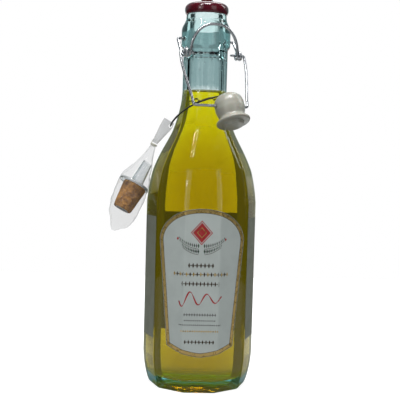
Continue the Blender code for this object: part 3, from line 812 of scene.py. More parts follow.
def inset_loop(loop, distance):
    """The loop drawn in by a distance, with mitred corners."""
    drawn = []
    count = len(loop)
    for i, point in enumerate(loop):
        before, after = loop[i - 1], loop[(i + 1) % count]
        a = (point - before).normalized()
        b = (after - point).normalized()
        na, nb = Vector((-a.y, a.x)), Vector((-b.y, b.x))
        middle = (na + nb).normalized()
        drawn.append(point + middle * distance / max(0.35, middle.dot(na)))
    return drawn


def even_loop(points, step):
    """A closed outline resampled evenly, with its corners kept near."""
    dense = []
    for a, b in zip(points, points[1:] + points[:1]):
        count = max(1, int(math.ceil((b - a).length / step)))
        dense += [a.lerp(b, k / count) for k in range(count)]
    return dense


def add_ribbon(bm, near, far, lift, closed, index):
    """A flat strip of ink between two lines on the label."""
    pairs = [(bm.verts.new(skin_point(a.x, a.y, lift)), bm.verts.new(skin_point(b.x, b.y, lift)))
             for a, b in zip(near, far)]
    run = pairs + pairs[:1] if closed else pairs
    for (a, b), (c, d) in zip(run, run[1:]):
        face = bm.faces.new((a, c, d, b))
        face.material_index = index


def add_band(bm, loop, start, end, lift, index):
    """A closed band of ink, in strips narrow enough to follow the folds."""
    count = max(1, int(math.ceil((end - start) / STRIP)))
    for k in range(count):
        near, far = (start + (end - start) * (k + side) / count for side in (0, 1))
        add_ribbon(bm, inset_loop(loop, near), inset_loop(loop, far), lift, True, index)


def add_stroke(bm, points, width, lift, index):
    """A drawn line whose width may change along it."""
    near, far = [], []
    for i, point in enumerate(points):
        before, after = points[max(0, i - 1)], points[min(len(points) - 1, i + 1)]
        along = (after - before).normalized()
        across = Vector((-along.y, along.x))
        half = (width(i / (len(points) - 1)) if callable(width) else width) / 2
        near.append(point - across * half)
        far.append(point + across * half)
    add_ribbon(bm, near, far, lift, False, index)


def add_patch(bm, outline, lift, index):
    face = bm.faces.new([bm.verts.new(skin_point(p.x, p.y, lift)) for p in outline])
    face.material_index = index


def rule(x0, x1, z):
    """A level line in steps short enough to follow the folds."""
    count = max(2, int(abs(x1 - x0) / STRIP))
    return [Vector((x0 + (x1 - x0) * i / count, z)) for i in range(count + 1)]


def add_lozenge(bm, x, z, wide, high, lift, index):
    corners = ((0, -high), (wide, 0), (0, high), (-wide, 0))
    add_patch(bm, [Vector((x + a, z + b)) for a, b in corners], lift, index)


def add_bead_row(bm, z, half, high, pitch, lift, inks):
    """A row of slim lozenges with a small one between each two."""
    count = int(round(half / pitch))
    for k in range(-2 * count, 2 * count + 1):
        small = k % 2
        wide, tall = (0.6, 0.35) if small else (1.0, 1.0)
        add_lozenge(bm, PRINT_MIDDLE + k * pitch / 2, z, 0.30 * pitch * wide, high / 2 * tall, lift,
                    inks[(k // 2) % len(inks)])


def add_emblem(bm, lift):
    """A red lozenge with an outer line, and a gold line on it."""
    centre = Vector((PRINT_MIDDLE, EMBLEM_Z))
    corners = ((0, -EMBLEM_HIGH), (EMBLEM_HALF, 0), (0, EMBLEM_HIGH), (-EMBLEM_HALF, 0))
    outer = even_loop([centre + Vector(p) for p in corners], 0.5)
    add_lozenge(bm, PRINT_MIDDLE, EMBLEM_Z, EMBLEM_HALF, EMBLEM_HIGH, lift, RED)
    add_ribbon(bm, inset_loop(outer, -0.5), inset_loop(outer, -1.1), lift, True, RED)
    inner = even_loop([centre + Vector(p) * 0.55 for p in corners], 0.5)
    add_ribbon(bm, inner, inset_loop(inner, 0.5), lift + 0.02, True, GOLD)


def add_garland(bm, side, lift, steps=40):
    """Two hanging lines of leaves on one side of the emblem, with a red drop at the end."""
    for row, (start, sag) in enumerate(((112.5, 3.4), (108.4, 2.4))):
        arc = []
        for k in range(steps + 1):
            share = k / steps
            arc.append(Vector((PRINT_MIDDLE + side * (2.2 + (15.2 - 3.0 * row) * share),
                               start - 4.4 + (sag + 3.0) * share ** 1.8)))
        add_stroke(bm, arc, 0.32, lift, DARK)
        for k in range(0, steps + 1, 4):
            size = 1.35 - 0.5 * k / steps
            ink = (GREEN, GREY)[k // 4 % 2]
            add_lozenge(bm, arc[k].x, arc[k].y + 1.7 * size, 0.48 * size, 1.35 * size, lift, ink)
    add_lozenge(bm, PRINT_MIDDLE + side * 18.6, 115.2, 0.9, 1.3, lift, RED)


def add_flourish(bm, lift, steps=220):
    """A red wave that flattens out to the right, drawn with a pen of changing width."""
    swash = []
    for i in range(steps + 1):
        t = i / steps
        rise = (6.0 - 3.6 * t) * math.sin(2 * math.pi * (2.6 * t + 0.55))
        swash.append(Vector((PRINT_MIDDLE - 16.2 + 32.4 * t, 71.4 + rise)))
    add_stroke(bm, swash, lambda t: 0.35 + 0.75 * abs(math.sin(math.pi * 5.2 * t + 1.2)), lift, RED)


def add_front_print(bm, lift):
    """A generic ornament: the emblem, the garland, rows of beads, and the flourish."""
    add_emblem(bm, lift)
    for side in (-1, 1):
        add_garland(bm, side, lift)
    for z, half, high, pitch, inks in ((95.9, 7.6, 4.2, 2.9, (DARK,)), (89.4, 20.6, 3.6, 2.6, (GOLD, DARK)),
                                       (82.4, 13.4, 4.0, 2.7, (DARK,)), (59.6, 11.0, 2.6, 1.9, (GREY,)),
                                       (55.3, 11.4, 1.5, 1.4, (GREY,)), (52.0, 15.0, 1.5, 1.4, (GREY,)),
                                       (47.4, 14.4, 1.9, 1.7, (GOLD,)), (39.4, 10.0, 3.4, 2.6, (DARK,))):
        add_bead_row(bm, z, half, high, pitch, lift, inks)
    add_flourish(bm, lift)


def build_front_label(settings):
    thickness = settings.thickness / MM
    side = front_side()
    paper = build_front_paper(side, thickness, paper_material("label_paper", settings.paper_colour))
    place(paper, "bottle", "label_paper", "label_front")
    loop = [Vector(p) for p in side] + [Vector((-x, z)) for x, z in reversed(side[1:-1])]
    loop = even_loop(loop, 0.45)
    lift = PAPER_LIFT + thickness + INK_LIFT
    bm = bmesh.new()
    width = settings.border / MM
    for start, end, index in ((0.15, 0.5, DARK), (0.5, 0.5 + width, GOLD), (0.5 + width, 0.85 + width, DARK)):
        add_band(bm, loop, start, end, lift, index)
    add_front_print(bm, lift)
    bmesh.ops.recalc_face_normals(bm, faces=bm.faces)
    inks = [ink_material("gold_ink", settings.gold_colour, 0.26, 0.38, 0.7),
            ink_material("dark_ink", (0.045, 0.030, 0.018), 0.5, 0.7),
            ink_material("red_ink", (0.36, 0.018, 0.02), 0.45, 0.65),
            ink_material("green_ink", (0.030, 0.060, 0.035), 0.5, 0.7),
            ink_material("grey_ink", (0.10, 0.10, 0.10), 0.5, 0.7)]
    ink = add_object("label_front_print", bm, inks, 30)
    return place(ink, "bottle", "label_paper")


def build_back_label(settings):
    thickness = settings.thickness / MM
    pitch = 2 * FLAT_HALF + FOLD
    reach = 3.5 * pitch - 0.45 * FOLD
    back = 5 * pitch
    half = {back - c for c in fold_columns(back) if c > 0 and back - c <= reach} | {0.0}
    span = sorted({-c for c in half} | half)
    levels = [BACK_LOW + (BACK_HIGH - BACK_LOW) * i / BACK_ROWS for i in range(BACK_ROWS + 1)]
    flip = Matrix.Rotation(math.pi, 3, "Z")
    bm = bmesh.new()
    bridge(bm, add_rows(bm, [[flip @ skin_point(c, z, PAPER_LIFT) for c in span] for z in levels]),
           closed=False)
    thicken(bm, thickness)
    paper = add_object("label_back_paper", bm, [paper_material("back_paper", settings.back_colour)], 30)
    place(paper, "bottle", "label_paper", "label_back")
    bm = bmesh.new()
    lift = PAPER_LIFT + thickness + INK_LIFT
    outline = [Vector(p) for p in ((-60, 42), (60, 42), (60, 126.5), (-60, 126.5))]
    frame_line = even_loop(outline, 0.4)
    add_ribbon(bm, frame_line, inset_loop(frame_line, 0.5), lift, True, 0)
    for k in range(9):
        for middle, half in ((-32.0, 21.0), (20.0, 22.0)):
            short = 6.0 if k % 3 == 2 else 0.0
            add_stroke(bm, rule(middle - half, middle + half - short, 118.0 - 8.0 * k), 0.55, lift, 1)
    bmesh.ops.rotate(bm, matrix=flip, verts=bm.verts)
    ink = add_object("label_back_print", bm, [bpy.data.materials["gold_ink"],
                                              bpy.data.materials["grey_ink"]], 30)
    return place(ink, "bottle", "label_paper")


# Swing closure

def closure_point(u, v, z):
    """A point of the swing closure: u along its pivot, v forward, z up."""
    return Vector((u * math.cos(CLOSURE_TURN) + v * math.sin(CLOSURE_TURN),
                   u * math.sin(CLOSURE_TURN) - v * math.cos(CLOSURE_TURN), z))


def rounded_path(points, radius, steps=8):
    """A run of straight lines with an arc in place of each bend."""
    path = [points[0]]
    for before, bend, after in zip(points, points[1:], points[2:]):
        back, on = (before - bend), (after - bend)
        angle = back.angle(on)
        cut = min(radius / math.tan(angle / 2), 0.49 * back.length, 0.49 * on.length)
        start, end = bend + cut * back.normalized(), bend + cut * on.normalized()
        if math.pi - angle < math.radians(12):
            path.append(bend)
            continue
        for k in range(steps + 1):
            t = k / steps
            path.append((1 - t) ** 2 * start + 2 * t * (1 - t) * bend + t ** 2 * end)
    path.append(points[-1])
    return path


def lever_half(coil_steps=40, arch_steps=26):
    """Half of the lever's wire: its pin, the arm, the coil and half of the arch, as (u, v, z)."""
    reach = math.hypot(COIL_V, COIL_Z - PIVOT_Z)
    heading = math.atan2(COIL_Z - PIVOT_Z, COIL_V) - math.asin(COIL_RADIUS / reach)
    first = heading - math.pi / 2
    touch = Vector((LEVER_HALF, COIL_V + COIL_RADIUS * math.cos(first),
                    COIL_Z + COIL_RADIUS * math.sin(first)))
    half = rounded_path([Vector((PIN_END, 0, PIVOT_Z)), Vector((LEVER_HALF, 0, PIVOT_Z)), touch], 2.0)[:-1]
    last = 2 * math.pi
    for k in range(coil_steps + 1):
        turn = first + (last - first) * k / coil_steps
        u = LEVER_HALF - COIL_PITCH * (turn - first) / (2 * math.pi)
        half.append(Vector((u, COIL_V + COIL_RADIUS * math.cos(turn), COIL_Z + COIL_RADIUS * math.sin(turn))))
    foot = half[-1]
    for k in range(1, arch_steps + 1):
        turn = math.pi / 2 * k / arch_steps
        rise = math.sin(turn)
        u = foot.x * max(0.0, math.cos(turn)) ** ARCH_SQUARE
        half.append(Vector((u, foot.y + (ARCH_TOP_V - foot.y) * rise, foot.z + (ARCH_TOP_Z - foot.z) * rise)))
    return half, foot


def build_lever(settings, steel):
    half, foot = lever_half()
    left = [Vector((-p.x, p.y, p.z)) for p in half]
    path = []
    for p in left[:-1] + half[::-1]:
        rise = max(0.0, (p.z - foot.z) / (ARCH_TOP_Z - foot.z)) if p.y > foot.y else 0.0
        path.append(closure_point(p.x + ARCH_SKEW * rise, p.y, p.z))
    bm = tube(fine_path(path, 0.6), settings.lever_wire / MM, settings.wire_sides, taper=2)
    return place(add_object("lever_wire", bm, [steel], 50), "lever", "steel_wire", "lever")


def build_bail(settings, steel):
    slope = Vector((BAR_V - COIL_V, BAR_Z - COIL_Z)).normalized()
    length = math.hypot(BAR_V - COIL_V, BAR_Z - COIL_Z)
    plan = [(u, min(w, length)) for u, w in [(BAIL_END, 0.0)] + list(BAIL_LEG)]
    outline = [(-u, w) for u, w in plan] + [(u, w) for u, w in reversed(plan)]
    skewed = [(u + BAIL_SKEW * w / length, w) for u, w in outline]
    points = [closure_point(u, COIL_V + slope.x * w, COIL_Z + slope.y * w) for u, w in skewed]
    bm = tube(fine_path(rounded_path(points, BAIL_BEND), 0.6), settings.bail_wire / MM, settings.wire_sides,
              taper=2)
    return place(add_object("bail_wire", bm, [steel], 50), "bail", "steel_wire", "bail")


def build_stopper(settings):
    bm = lathe([(r, -depth) for r, depth in STOPPER_PROFILE], 72, 0.35, Vector((0, 0, 9.7)),
               Vector((0, 0, -16.4)))
    hole = closure_point(STOPPER_U, BAR_V, BAR_Z)
    lean = Matrix.Rotation(-STOPPER_LEAN, 4, closure_point(1, 0, 0))
    lean = lean @ Matrix.Rotation(-STOPPER_TILT, 4, closure_point(0, -1, 0))
    bmesh.ops.transform(bm, matrix=Matrix.Translation(hole) @ lean, verts=bm.verts)
    stopper = add_object("stopper_ceramic", bm, [ceramic_material(settings)], 40)
    reach = closure_point(16, 0, 0)
    cut_with_rod(stopper, hole - reach, hole + reach, 1.6)
    shade(stopper.data, 40)
    return place(stopper, "stopper", "white_ceramic", "stopper")


# String, bag and pourer

def string_point(turn):
    """Where the elastic lies: high on the right of the neck, drawn down on the left by the bag."""
    lift = ((1 - math.cos(turn)) / 2) ** 0.28
    soft = (math.hypot(lift, STRING_TURN) - STRING_TURN) / (math.hypot(1, STRING_TURN) - STRING_TURN)
    z = STRING_LOW + (STRING_HIGH - STRING_LOW) * soft
    near = math.exp(-((turn - 2 * math.pi * (turn > math.pi)) / 0.42) ** 2)
    radius = glass_radius(z) + 0.8
    x = -radius * math.cos(turn) + (STRING_LOW_X + glass_radius(STRING_LOW) + 0.9) * near
    return Vector((x, -radius * math.sin(turn), z))


def join(pieces):
    """One mesh from several."""
    bm = bmesh.new()
    for piece in pieces:
        mesh = bpy.data.meshes.new("part")
        piece.to_mesh(mesh)
        piece.free()
        bm.from_mesh(mesh)
        bpy.data.meshes.remove(mesh)
    return bm


def build_knot(elastic):
    """The string's knot, one bow and two ends."""
    centre = string_point(KNOT_TURN)
    along = (string_point(KNOT_TURN + 0.05) - string_point(KNOT_TURN - 0.05)).normalized()
    out = Vector((centre.x, centre.y, 0)).normalized()
    up = along.cross(out).normalized()
    if up.z < 0:
        up = -up
    knot = [centre + out * 0.35 + along * 1.1 * math.sin(2 * t) * 0.8 + up * 0.9 * math.cos(t)
            + out * 0.5 * math.sin(3 * t) for t in round_turns(40)]
    bow = [centre + out * 0.9 - along * (1.4 + 1.5 * (1 - math.cos(t))) + up * (0.6 + 1.25 * math.sin(t))
           for t in round_turns(36)]
    pieces = [tube(knot, 0.85, 8, closed=True), tube(bow, 0.7, 8, closed=True)]
    for lean, reach in ((0.55, 4.6), (-0.15, 3.6)):
        tail = [centre + out * (0.9 + 0.5 * math.sin(2.2 * s)) + along * reach * s
                + up * lean * reach * s * s * 0.35 for s in [i / 12 for i in range(13)]]
        pieces.append(tube(tail, 0.7, 8, taper=2))
    return place(add_object("string_knot", join(pieces), [elastic], 60), "bottle", "black_elastic")


def build_string(settings):
    elastic = elastic_material()
    path = [string_point(t) for t in round_turns(420)]
    bm = tube(path, settings.string_width / MM, 12, closed=True, plies=3, ply_depth=0.13, ply_pitch=1.8)
    place(add_object("string_loop", bm, [elastic], 60), "bottle", "black_elastic", "string")
    build_knot(elastic)


def film_rings(rows, start, along, across, pleat, crinkle, sides=72, step=0.8):
    """Ovals along a run of film. pleat and crinkle give their depth by the distance from the tie."""
    reaches = [row[0] for row in rows]
    order = np.argsort(reaches)
    knots = [reaches[i] for i in order]
    at = np.linspace(knots[0], knots[-1], max(3, int((knots[-1] - knots[0]) / step)))
    wide, thick, offset = [smooth_run(knots, [rows[i][k] for i in order], at) for k in (1, 2, 3)]
    normal = along.cross(across).normalized()
    rings = []
    for reach, w, t, o in zip(at, wide, thick, offset):
        ring = []
        for turn in round_turns(sides):
            fold = 1 + pleat(reach) * math.sin(11 * turn + 1.7 * math.sin(3 * turn))
            point = start + along * reach + across * (o + w * fold * math.cos(turn))
            point = point + normal * t * fold * math.sin(turn)
            lump = noise.noise(point * 0.16 + NOISE_SEED) * 1.1 + noise.noise(point * 0.5 + NOISE_SEED) * 0.55
            ridge = 0.5 - abs(noise.noise(point * 0.33 - NOISE_SEED))
            away = point - start - along * reach
            size = away.length or 1.0
            ring.append(point + away / size * crinkle(reach) * (0.5 * lump + 0.8 * ridge - 0.55))
        rings.append(ring)
    return rings


def build_bag(settings):
    header_film = film_material("header_film", (0.66, 0.68, 0.68), 0.42, 0.9)
    pouch_film = film_material("clear_film", settings.film_colour, 0.15, 0.9)
    header = film_rings(BAG_HEADER, BAG_TIE, BAG_UP, HEADER_ACROSS, lambda r: 0.16 * math.exp(-r / 9),
                        lambda r: 0.25)
    across = (BAG_ACROSS - BAG_ACROSS.dot(BAG_DOWN) * BAG_DOWN).normalized()
    pouch = film_rings(BAG_POUCH, BAG_TIE, BAG_DOWN, across, lambda r: 0.17 * math.exp(-r / 13),
                       lambda r: min(1.0, r / 20) * (0.9 + 1.2 * max(0.0, (r - 50) / 20)))
    place(add_object("bag_film", loft(pouch), [pouch_film], 75), "bottle", "clear_film", "bag")
    head = add_object("bag_header", loft(header), [header_film], 75)
    low = Vector((STRING_LOW_X, 0, STRING_LOW))
    cut_with_rod(head, low + Vector((0, -6, 0)), low + Vector((0, 6, 0)), 1.3)
    head.data.shade_smooth()
    place(head, "bottle", "clear_film")


def build_tie(steps=119, end_steps=21):
    """A wire wound round the film, with one end that stands off."""
    material = principled("tie_wire", (0.70, 0.69, 0.60), IOR=1.45)
    mottle(material, (0.70, 0.69, 0.60), (0.42, 0.41, 0.33), Scale=700.0, Amount=0.6, Speck_Scale=2500.0,
           Speck_Amount=0.3, Smooth=0.35, Rough=0.6)
    ripple(material, Wave_Scale=800.0, Wave_Depth=0.2, Grain_Scale=3000.0, Grain_Depth=0.3)
    along = (BAG_UP - BAG_DOWN).normalized()
    side = along.orthogonal().normalized()
    other = along.cross(side)
    path = []
    for i in range(steps + 1):
        turn = 2 * math.pi * TIE_TURNS * i / steps
        radius = TIE_RADIUS + 0.1 * math.sin(5 * turn)
        path.append(BAG_TIE + BAG_DOWN * (0.9 - 1.5 * i / steps)
                    + radius * (side * math.cos(turn) + other * math.sin(turn)))
    last = path[-1]
    out = (last - BAG_TIE).normalized()
    for k in range(1, end_steps + 1):
        s = k / end_steps
        path.append(last + out * 2.4 * s + Vector((3.4 * s, -1.0 * s, 1.6 * math.sin(2.6 * s))))
    bm = tube(fine_path(path, 0.3), TIE_WIRE, 8, taper=2)
    return place(add_object("bag_tie_wire", bm, [material], 60), "bottle", "tie_wire", "bag_tie")


def axis_frame(origin, direction):
    """A frame whose Z runs along a direction."""
    turn = direction.to_track_quat("Z", "Y").to_matrix().to_4x4()
    return Matrix.Translation(origin) @ turn


def fit(name, bm, frame_at, material, smooth_angle):
    """Sets a piece of the pourer in the bag."""
    bmesh.ops.transform(bm, matrix=frame_at, verts=bm.verts)
    place(add_object(name, bm, [material], smooth_angle), "bottle", "clear_film")


def build_pourer(settings):
    clear = clear_plastic_material()
    white = white_plastic_material()
    down = axis_frame(CORK_TOP, CORK_DOWN)
    cork_line = [(4.0, 0.0), (8.4, 0.02), (9.1, 0.3), (9.3, 1.0), (8.4, 10.0), (7.3, 19.6), (7.0, 20.5),
                 (6.5, 21.0), (5.3, 21.0), (5.2, 20.8), (5.2, 12.0), (3.0, 11.9)]
    bm = lathe(cork_line, 64, 0.35, Vector((0, 0, 0)), Vector((0, 0, 11.9)))
    for vert in bm.verts:
        if 0.2 < vert.co.z < 20.8:
            pit = noise.noise(vert.co * 0.9 + NOISE_SEED) + 0.6 * noise.noise(vert.co * 2.3)
            away = Vector((vert.co.x, vert.co.y, 0))
            if away.length > 6.2:
                vert.co -= away.normalized() * max(0.0, pit - 0.12) * 0.55
    fit("pourer_cork", bm, down, cork_material(settings), 50)
    flange = [(4.0, -0.1), (9.6, -0.1), (11.2, 0.3), (11.8, 0.5), (12.1, 0.1), (12.0, -0.8), (11.5, -1.6),
              (10.4, -1.9), (6.4, -1.95), (4.0, -1.95)]
    bm = lathe(flange, 72, 0.3, Vector((0, 0, -0.1)), Vector((0, 0, -1.95)))
    fit("pourer_flange", bm, Matrix.Translation(BAG_ACROSS * -1.2) @ down, clear, 40)
    rings = []
    spout = ((5.2, 2.2, 0.0), (4.9, 5.0, 0.0), (4.5, 10.0, 0.0), (4.1, 15.0, 0.4), (3.75, 19.0, 1.6),
             (3.55, 19.8, 1.6), (3.2, 19.7, 1.6), (3.1, 19.0, 1.5), (3.4, 12.0, 0.4), (4.1, 2.9, 0.0))
    for radius, reach, slant in spout:
        rings.append([Vector((radius * math.cos(t), radius * math.sin(t), -reach + slant * math.cos(t)))
                      for t in round_turns(48)])
    bm = loft(rings, Vector((0, 0, -2.2)), Vector((0, 0, -2.9)))
    fit("pourer_spout", bm, down, clear, 50)
    rings = [round_ring(r, z, 48) for r, z in ((5.1, 12.2), (5.1, 20.9), (5.05, 21.1), (4.9, 21.15),
                                               (4.8, 21.05), (4.75, 20.0), (4.75, 13.2))]
    fit("pourer_tube", loft(rings, Vector((0, 0, 12.2)), Vector((0, 0, 13.2))), down, white, 50)
    # A dark disc in the tube's mouth: painted shade standing for the dark inside of the hole.
    dark = principled("painted_hole_shade", (0.02, 0.018, 0.015))
    mottle(dark, (0.02, 0.018, 0.015), (0.05, 0.04, 0.03), Scale=300.0, Speck_Scale=1500.0, Smooth=0.5,
           Rough=0.8)
    bm = lathe([(1.2, 19.0), (4.2, 19.0), (4.65, 19.3), (4.65, 20.9), (4.0, 21.1), (1.2, 21.15)], 48, 0.3,
               Vector((0, 0, 19.0)), Vector((0, 0, 21.15)))
    fit("pourer_painted_hole_shade", bm, down, dark, 50)


# Stage

def light_patch(tree, axis, sign, low, high, strength=1.0):
    """A soft bright patch where a coordinate, times the sign, passes from low to high."""
    return ease(tree, calculate(tree, "MULTIPLY", axis, sign), low, high, 0.0, strength)


def build_surroundings(settings):
    """A dark room with a bright backdrop and ceiling. The camera itself sees it plain white."""
    world = bpy.data.worlds.new("studio")
    bpy.context.scene.world = world
    world.use_nodes = True
    tree = world.node_tree
    where = tree.nodes.new("ShaderNodeTexCoord").outputs["Generated"]
    split = add_node(tree, "ShaderNodeSeparateXYZ", inputs={"Vector": where})
    y, z = split.outputs["Y"], split.outputs["Z"]
    # A bright band on the backdrop, from a little below the camera's height downwards
    band = calculate(tree, "MULTIPLY", light_patch(tree, y, 1, 0.83, 0.92),
                     light_patch(tree, z, -1, -0.08, -0.064))
    rear = calculate(tree, "MULTIPLY", light_patch(tree, y, 1, -0.1, 0.5, 0.6),
                     light_patch(tree, z, 1, -0.02, 0.08))
    lit = calculate(tree, "MAXIMUM", rear, light_patch(tree, y, 1, 0.86, 0.94))
    room = blend(tree, lit, tuple(0.1 * c for c in settings.surroundings), settings.surroundings)
    room = blend(tree, band, room, [settings.back_light] * 3)
    room = blend(tree, light_patch(tree, z, 1, 0.88, 0.97), room, [settings.top_light] * 3)
    camera_ray = tree.nodes.new("ShaderNodeLightPath").outputs["Is Camera Ray"]
    tree.links.new(blend(tree, camera_ray, room, WHITE), tree.nodes["Background"].inputs["Color"])


def build_floor(settings):
    bm = bmesh.new()
    bmesh.ops.create_grid(bm, x_segments=2, y_segments=2, size=settings.floor_size / 2 / MM)
    bmesh.ops.translate(bm, vec=(0, 0, -FLOOR_GAP), verts=bm.verts)
    material = principled("pale_floor", (0.4, 0.4, 0.4), Roughness=0.9, Emission_Strength=0.9)
    tree = material.node_tree
    where = tree.nodes.new("ShaderNodeTexCoord").outputs["Object"]
    split = add_node(tree, "ShaderNodeSeparateXYZ", inputs={"Vector": where})
    x, y = split.outputs["X"], split.outputs["Y"]
    # The floor is lit behind the bottle, in a widening strip, and dim in front and to the sides.
    aside = calculate(tree, "MULTIPLY_ADD", y, -0.35, calculate(tree, "ABSOLUTE", x))
    lit = calculate(tree, "MULTIPLY", light_patch(tree, y, 1, -0.02, 0.25),
                    light_patch(tree, aside, -1, -0.10, -0.06))
    camera_ray = tree.nodes.new("ShaderNodeLightPath").outputs["Is Camera Ray"]
    glow = blend(tree, lit, (0.0, 0.0, 0.0), (0.7, 0.7, 0.7))
    link(material, blend(tree, camera_ray, glow, WHITE), "Emission Color")
    link(material, blend(tree, lit, (0.3, 0.3, 0.3), (0.42, 0.43, 0.43)), "Base Color")
    floor = add_object("floor", bm, [material])


def add_area_light(name, position, target, size, watts):
    data = bpy.data.lights.new(name, "AREA")
    data.shape = "RECTANGLE"
    data.size, data.size_y = size
    data.energy = watts
    light = bpy.data.objects.new(name, data)
    light.location = position
    light.rotation_euler = (Vector(target) - Vector(position)).to_track_quat("-Z", "Y").to_euler()
    bpy.context.scene.collection.objects.link(light)


def build_camera():
    data = bpy.data.cameras.new("camera")
    data.sensor_width = 36.0
    data.lens = CAMERA_FOCUS * data.sensor_width
    camera = bpy.data.objects.new("camera", data)
    bpy.context.scene.collection.objects.link(camera)
    heading = CAMERA_TURN - CAMERA_YAW
    forward = Vector((math.sin(heading) * math.cos(CAMERA_PITCH), math.cos(heading) * math.cos(CAMERA_PITCH),
                      -math.sin(CAMERA_PITCH)))
    level = Vector((math.cos(heading), -math.sin(heading), 0.0))
    above = level.cross(forward)
    right = level * math.cos(CAMERA_ROLL) + above * math.sin(CAMERA_ROLL)
    up = above * math.cos(CAMERA_ROLL) - level * math.sin(CAMERA_ROLL)
    turn = Matrix((right, up, -forward)).transposed().to_4x4()
    stand = Vector((-CAMERA_DISTANCE * math.sin(CAMERA_TURN), -CAMERA_DISTANCE * math.cos(CAMERA_TURN),
                    CAMERA_HEIGHT))
    camera.matrix_world = Matrix.Translation(stand) @ turn
    bpy.context.scene.camera = camera


# Operators

class OILBOTTLE_OT_stage(bpy.types.Operator):
    """Make the camera, the pale floor and the soft light"""
    bl_idname = "oilbottle.stage"
    bl_label = "Stage"

    def execute(self, context):
        settings = context.scene.oil_bottle_stage
        build_camera()
        build_surroundings(settings)
        build_floor(settings)
        add_area_light("soft_left", (-0.45, -0.57, 1.22), (0, 0, 0.18), (0.09, 0.40), 3.5)
        add_area_light("soft_low", (-0.62, -0.79, 0.46), (0, 0, 0.15), (0.07, 0.07), 0.45)
        add_area_light("box_left", (-0.55, -0.79, 0.42), (0, 0, 0.18), (0.45, 0.7), 1.0)
        add_area_light("box_right", (0.55, -0.79, 0.42), (0, 0, 0.18), (0.45, 0.7), 0.9)
        # High enough that no part of the shoulder mirrors it to the camera
        add_area_light("soft_front", (0.05, -0.45, 1.55), (0, 0, 0.12), (0.5, 0.3), settings.front_light)
        add_area_light("soft_right", (0.9, 0.25, 0.8), (0, 0, 0.2), (0.2, 0.5), 1.6)
        add_area_light("soft_top", (0.05, 0.5, 0.95), (0, 0, 0.25), (0.6, 0.3), 2.2)
        context.scene.view_settings.view_transform = "Standard"
        return {"FINISHED"}


class OILBOTTLE_OT_glass(bpy.types.Operator):
    """Make the ten-sided glass bottle"""
    bl_idname = "oilbottle.glass"
    bl_label = "Glass"

    def execute(self, context):
        build_glass(context.scene.oil_bottle)
        return {"FINISHED"}


class OILBOTTLE_OT_oil(bpy.types.Operator):
    """Fill the bottle with oil up to its level"""
    bl_idname = "oilbottle.oil"
    bl_label = "Oil"

    def execute(self, context):
        build_oil(context.scene.oil_bottle)
        return {"FINISHED"}


class OILBOTTLE_OT_cap(bpy.types.Operator):
    """Make the red cap"""
    bl_idname = "oilbottle.cap"
    bl_label = "Cap"

    def execute(self, context):
        build_cap(context.scene.oil_bottle)
        return {"FINISHED"}


class OILBOTTLE_OT_labels(bpy.types.Operator):
    """Make the front and back labels with their print"""
    bl_idname = "oilbottle.labels"
    bl_label = "Labels"

    def execute(self, context):
        build_front_label(context.scene.oil_bottle_label)
        build_back_label(context.scene.oil_bottle_label)
        return {"FINISHED"}


class OILBOTTLE_OT_wires(bpy.types.Operator):
    """Bend the lever and the bail from steel wire"""
    bl_idname = "oilbottle.wires"
    bl_label = "Wires"

    def execute(self, context):
        settings = context.scene.oil_bottle_closure
        steel = steel_material("steel_wire", settings.steel_colour)
        build_lever(settings, steel)
        build_bail(settings, steel)
        return {"FINISHED"}


class OILBOTTLE_OT_stopper(bpy.types.Operator):
    """Turn the ceramic stopper and drill its hole"""
    bl_idname = "oilbottle.stopper"
    bl_label = "Stopper"

    def execute(self, context):
        build_stopper(context.scene.oil_bottle_closure)
        return {"FINISHED"}


class OILBOTTLE_OT_string(bpy.types.Operator):
    """Tie the elastic string round the neck"""
    bl_idname = "oilbottle.string"
    bl_label = "String"

    def execute(self, context):
        build_string(context.scene.oil_bottle_bag)
        return {"FINISHED"}


class OILBOTTLE_OT_bag(bpy.types.Operator):
    """Make the film bag, its header and its tie"""
    bl_idname = "oilbottle.bag"
    bl_label = "Bag"

    def execute(self, context):
        build_bag(context.scene.oil_bottle_bag)
        build_tie()
        return {"FINISHED"}


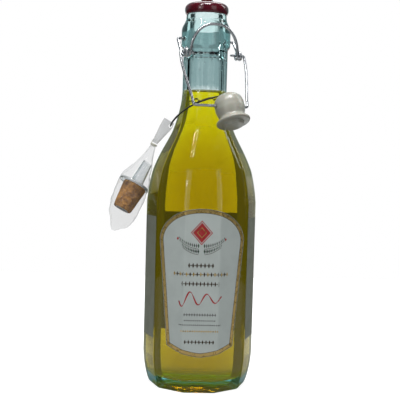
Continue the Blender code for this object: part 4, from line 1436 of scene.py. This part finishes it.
class OILBOTTLE_OT_pourer(bpy.types.Operator):
    """Put the cork pourer in the bag"""
    bl_idname = "oilbottle.pourer"
    bl_label = "Pourer"

    def execute(self, context):
        build_pourer(context.scene.oil_bottle_bag)
        return {"FINISHED"}


class OILBOTTLE_PT_panel(bpy.types.Panel):
    """Sizes, colours and the steps that make each piece"""
    bl_idname = "OILBOTTLE_PT_panel"
    bl_label = "Oil Bottle"
    bl_space_type = "VIEW_3D"
    bl_region_type = "UI"
    bl_category = "Oil Bottle"

    def draw(self, context):
        for operator in OPERATORS:
            self.layout.operator(operator.bl_idname)
        for name in GROUPS:
            box = self.layout.box()
            settings = getattr(context.scene, name)
            for key in settings.bl_rna.properties.keys():
                if key not in ("rna_type", "name"):
                    box.prop(settings, key)


OPERATORS = (OILBOTTLE_OT_stage, OILBOTTLE_OT_glass, OILBOTTLE_OT_oil, OILBOTTLE_OT_cap,
             OILBOTTLE_OT_labels, OILBOTTLE_OT_wires, OILBOTTLE_OT_stopper, OILBOTTLE_OT_string,
             OILBOTTLE_OT_bag, OILBOTTLE_OT_pourer)
GROUPS = {"oil_bottle": BottleSettings, "oil_bottle_label": LabelSettings,
          "oil_bottle_closure": ClosureSettings, "oil_bottle_bag": BagSettings,
          "oil_bottle_stage": StageSettings}


def register():
    for cls in (*GROUPS.values(), *OPERATORS, OILBOTTLE_PT_panel):
        bpy.utils.register_class(cls)
    for name, cls in GROUPS.items():
        setattr(bpy.types.Scene, name, PointerProperty(type=cls))


def unregister():
    for name in GROUPS:
        delattr(bpy.types.Scene, name)
    for cls in reversed((*GROUPS.values(), *OPERATORS, OILBOTTLE_PT_panel)):
        bpy.utils.unregister_class(cls)


def main():
    register()
    build_ripple_group()
    build_mottle_group()
    bpy.ops.oilbottle.stage()
    bpy.ops.oilbottle.glass()
    bpy.ops.oilbottle.oil()
    bpy.ops.oilbottle.cap()
    bpy.ops.oilbottle.labels()
    bpy.ops.oilbottle.wires()
    bpy.ops.oilbottle.stopper()
    bpy.ops.oilbottle.string()
    bpy.ops.oilbottle.bag()
    bpy.ops.oilbottle.pourer()


if __name__ == "__main__":
    main()
